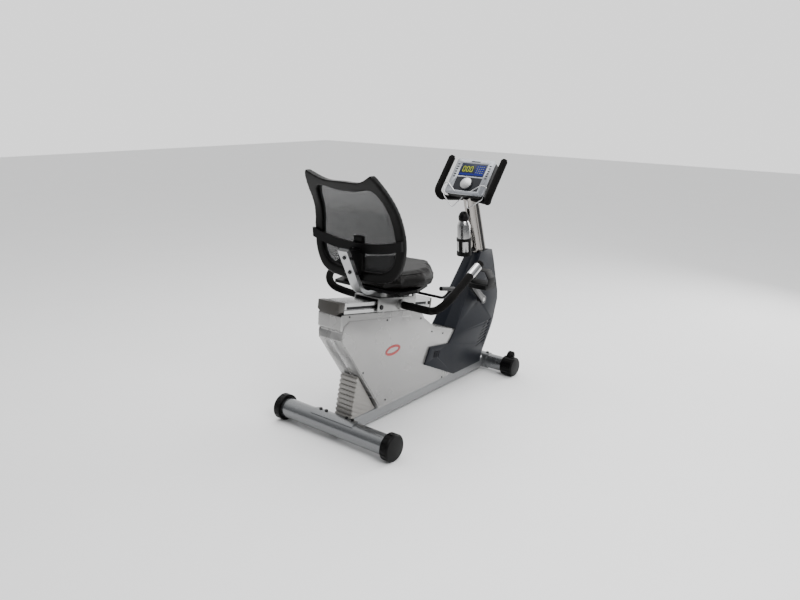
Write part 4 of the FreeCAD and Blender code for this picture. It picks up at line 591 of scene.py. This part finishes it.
def plates(name, spots, finishName, body, thick=0.0008):
    # small raised plates on the console's face: (across, height, width, tall, lift)
    bm = bmesh.new()
    for across, height, width, tall, lift in spots:
        place = Matrix.Translation(onFace(across, height, lift)) @ faceTurn
        made = bmesh.ops.create_cube(bm, size=1.0)
        bmesh.ops.scale(bm, vec=(width, tall, thick), verts=made["verts"])
        bmesh.ops.transform(bm, matrix=place, verts=made["verts"])
    mesh = bpy.data.meshes.new(name)
    bmesh.ops.recalc_face_normals(bm, faces=bm.faces)
    bm.to_mesh(mesh)
    bm.free()
    return piece(name, mesh, finishName, body)


def digitBars(across, height, lit):
    # seven bars: top, upper right, lower right, bottom, lower left, upper left, middle
    wide, tall, stroke = console["digitWidth"], console["digitHeight"], console["stroke"]
    bars = [(0, tall / 2, wide, stroke), (wide / 2, tall / 4, stroke, tall / 2),
            (wide / 2, -tall / 4, stroke, tall / 2), (0, -tall / 2, wide, stroke),
            (-wide / 2, -tall / 4, stroke, tall / 2), (-wide / 2, tall / 4, stroke, tall / 2),
            (0, 0, wide, stroke)]
    gap = console["gap"]
    return [(across - x, height + y, w * gap, t * gap, console["sunk"])
            for on, (x, y, w, t) in zip(lit, bars) if on]


zero = (True, True, True, True, True, True, False)
across, height = console["firstDigit"]
lit = []
for column in range(3):
    lit += digitBars(across - column * console["digitStep"], height, zero)
plates("lcdNumbers", lit, "lcdDigits", "frame", console["printed"])
blue = [(*spot, console["sunk"]) for spot in console["blue"]]
plates("lcdBand", blue, "lcdBlue", "frame", console["printed"])
across, height = console["firstMark"]
step = console["markStep"]
marks = [(across - column * step, height - row * step, *console["mark"], console["markLift"])
         for row in range(4) for column in range(4)]
plates("lcdMarks", marks, "lcdDigits", "frame", console["printed"])
across, height = console["firstKey"]
keys = [(side * across, height - row * console["keyStep"], *console["key"], console["keyLift"])
        for side in (-1, 1) for row in range(6)]
plates("sideKeys", keys, "panelPlastic", "frame", console["keyThick"])
plates("topMark", [(*console["topMark"], console["keyLift"])], "panelPlastic", "frame", console["topThick"])
print("console made")


# plain oval badge on each panel

badge = {"centre": (-0.263, 0.331), "half": (0.052, 0.023), "rim": 0.011, "thick": 0.0012, "segments": 32}


def addBadge(name, side):
    low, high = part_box("shroud_right" if side < 0 else "shroud_left")
    y = low.y if side < 0 else high.y
    bm = bmesh.new()
    made = bmesh.ops.create_circle(bm, cap_ends=True, radius=1, segments=badge["segments"])
    bmesh.ops.scale(bm, vec=(*badge["half"], 1), verts=made["verts"])
    rim = bmesh.ops.inset_region(bm, faces=bm.faces[:], thickness=badge["rim"], use_boundary=True)
    bmesh.ops.delete(bm, geom=[f for f in bm.faces if f not in rim["faces"]], context="FACES")
    grown = bmesh.ops.extrude_face_region(bm, geom=bm.faces[:])
    raised = [v for v in grown["geom"] if isinstance(v, bmesh.types.BMVert)]
    bmesh.ops.translate(bm, vec=(0, 0, badge["thick"]), verts=raised)
    bmesh.ops.recalc_face_normals(bm, faces=bm.faces)
    turn = Matrix.Rotation(math.radians(-90 * side), 4, "X")
    place = Matrix.Translation(Vector((badge["centre"][0], y, badge["centre"][1]))) @ turn
    bmesh.ops.transform(bm, matrix=place, verts=bm.verts)
    mesh = bpy.data.meshes.new(name)
    bm.to_mesh(mesh)
    bm.free()
    return piece(name, mesh, "badgeRed", "frame")


addBadge("badgeRight", -1)
addBadge("badgeLeft", 1)


# dark strips let into straight extrusions: thin plates along a given direction. The mast strips are a dark
# label; the rail strips and the vent plates are painted shade

def strip(name, centre, along, size, finishName, body):
    facing = Vector((0, math.copysign(1, centre.y), 0))
    across = along.cross(facing).normalized()
    turn = Matrix((across, along, across.cross(along))).transposed().to_4x4()
    bm = bmesh.new()
    made = bmesh.ops.create_cube(bm, size=1.0)
    bmesh.ops.scale(bm, vec=size, verts=made["verts"])
    bmesh.ops.bevel(bm, geom=bm.edges[:], offset=min(size) * 0.3, segments=2, profile=0.5, affect="EDGES",
                    material=-1)
    bmesh.ops.transform(bm, matrix=Matrix.Translation(centre) @ turn, verts=bm.verts)
    bmesh.ops.recalc_face_normals(bm, faces=bm.faces)
    mesh = bpy.data.meshes.new(name)
    bm.to_mesh(mesh)
    bm.free()
    return piece(name, mesh, finishName, body)


strips = {"mastSize": (0.02, 0.3, 0.0016), "mastLean": 19.4, "railSize": (0.011, 0.55, 0.0003),
          "railSlope": 9.4, "railDepth": 0.0069}
lean, slope = math.radians(strips["mastLean"]), math.radians(strips["railSlope"])
mastAlong = Vector((-math.sin(lean), 0, math.cos(lean)))
railAlong = Vector((math.cos(slope), 0, -math.sin(slope)))
mastLow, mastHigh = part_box("mast")
mastMiddle = (mastLow + mastHigh) / 2
railLow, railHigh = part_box("seat_rail")
railMiddle = (railLow + railHigh) / 2
for side, word in ((-1, "Right"), (1, "Left")):
    strip("mastStrip" + word, Vector((mastMiddle.x, side * (mastHigh.y + 0.0001), mastMiddle.z)),
          mastAlong, strips["mastSize"], "blackPlastic", "frame")
    # the rail strips are painted shade: dark plates at the bottom of the rail's grooves, standing in for the
    # shade inside them
    strip("railSlotShade" + word, Vector((railMiddle.x, side * (railHigh.y - strips["railDepth"]), railMiddle.z)),
          railAlong, strips["railSize"], "darkSteel", "frame")
# the slot and louvre plates are painted shade: black plates on the column cover standing in for the shaded
# insides of its vent openings
vents = {"slots": 3, "slotFoot": (0.04, 0.229), "slotStep": (0.017, -0.003),
         "slotSize": (0.0034, 0.032, 0.0008), "slotTurn": (0.34, 0, 0.94), "louvres": 7,
         "louvreFoot": (0.43, 0.178), "louvreStep": (0.0105, 0.0174), "louvreLength": 0.042,
         "louvreShrink": 0.003, "louvreTurn": (0.98, 0, 0.2), "louvreSize": (0.0045, 0.0008)}
for side, word in ((-1, "Right"), (1, "Left")):
    coverSide = side * (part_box("column_cover_left")[1].y + 0.0002)
    for i in range(vents["slots"]):
        x, z = (foot + step * i for foot, step in zip(vents["slotFoot"], vents["slotStep"]))
        strip(f"slot{word}{i}", Vector((x, coverSide, z)), Vector(vents["slotTurn"]), vents["slotSize"],
              "blackPlastic", "frame")
    for i in range(vents["louvres"]):
        x, z = (foot + step * i for foot, step in zip(vents["louvreFoot"], vents["louvreStep"]))
        length = vents["louvreLength"] - vents["louvreShrink"] * i
        strip(f"louvre{word}{i}", Vector((x, coverSide, z)), Vector(vents["louvreTurn"]),
              (vents["louvreSize"][0], length, vents["louvreSize"][1]), "blackPlastic", "frame")
print("strips made")


# floor, lights and camera

bm = bmesh.new()
bmesh.ops.create_grid(bm, x_segments=2, y_segments=2, size=14)
floorMesh = bpy.data.meshes.new("floor")
bm.to_mesh(floorMesh)
bm.free()
floor = bpy.data.objects.new("floor", floorMesh)
bpy.context.scene.collection.objects.link(floor)
floorMesh.materials.append(ground("floorPale"))
floor.location.z = -0.0005

studio = {"strength": 1.5, "bright": (0.55, 0.45, 0.35), "shade": (0.2, 0.205, 0.21, 1), "full": 0.45,
          "lamps": {"keyLight": ((-1.2, -2.6, 2.9), (0, 0, 0.5), (1.8, 1.4), 95),
                    "topLight": ((0.3, 0.4, 3.4), (0, 0, 0.4), (2.6, 2.2), 75),
                    "sideLight": ((3.0, -1.2, 1.6), (0.1, 0, 0.6), (1.2, 1.8), 45)}}
world = bpy.data.worlds.new("studio")
bpy.context.scene.world = world
world.use_nodes = True
shell = world.node_tree.nodes["Background"]
shell.inputs["Strength"].default_value = studio["strength"]
sky = world.node_tree.nodes.new("ShaderNodeTexCoord")
facing = world.node_tree.nodes.new("ShaderNodeVectorMath")
facing.operation = "DOT_PRODUCT"
facing.inputs[1].default_value = studio["bright"]
fade = world.node_tree.nodes.new("ShaderNodeValToRGB")
fade.color_ramp.elements[0].position = 0.0
fade.color_ramp.elements[0].color = studio["shade"]
fade.color_ramp.elements[1].position = studio["full"]
fade.color_ramp.elements[1].color = (1, 1, 1, 1)
world.node_tree.links.new(sky.outputs["Generated"], facing.inputs[0])
world.node_tree.links.new(facing.outputs["Value"], fade.inputs["Fac"])
world.node_tree.links.new(fade.outputs["Color"], shell.inputs["Color"])


def softLight(name, place, target, size, power):
    lamp = bpy.data.lights.new(name, "AREA")
    lamp.shape = "RECTANGLE"
    lamp.size, lamp.size_y = size
    lamp.energy = power
    holder = bpy.data.objects.new(name, lamp)
    bpy.context.scene.collection.objects.link(holder)
    holder.location = place
    holder.rotation_euler = (Vector(target) - Vector(place)).to_track_quat("-Z", "Y").to_euler()


for name, (place, target, size, power) in studio["lamps"].items():
    softLight(name, place, target, size, power)

view = {"place": (-2.647, -1.958, 1.415), "yaw": 38.29, "pitch": 15.66, "roll": 1.04, "lens": 33.09,
        "shiftX": 0.0055, "shiftY": -0.0008}
yaw, pitch, roll = (math.radians(view[key]) for key in ("yaw", "pitch", "roll"))
forward = Vector((math.cos(pitch) * math.cos(yaw), math.cos(pitch) * math.sin(yaw), -math.sin(pitch)))
level = forward.cross(Vector((0, 0, 1))).normalized()
rise = level.cross(forward)
right = level * math.cos(roll) + rise * math.sin(roll)
above = rise * math.cos(roll) - level * math.sin(roll)
cameraData = bpy.data.cameras.new("camera")
cameraData.lens = view["lens"]
cameraData.sensor_width = 36
cameraData.shift_x = view["shiftX"]
cameraData.shift_y = view["shiftY"]
camera = bpy.data.objects.new("camera", cameraData)
bpy.context.scene.collection.objects.link(camera)
turn = Matrix((right, above, -forward)).transposed().to_4x4()
camera.matrix_world = Matrix.Translation(view["place"]) @ turn
bpy.context.scene.camera = camera

print("scene ready")
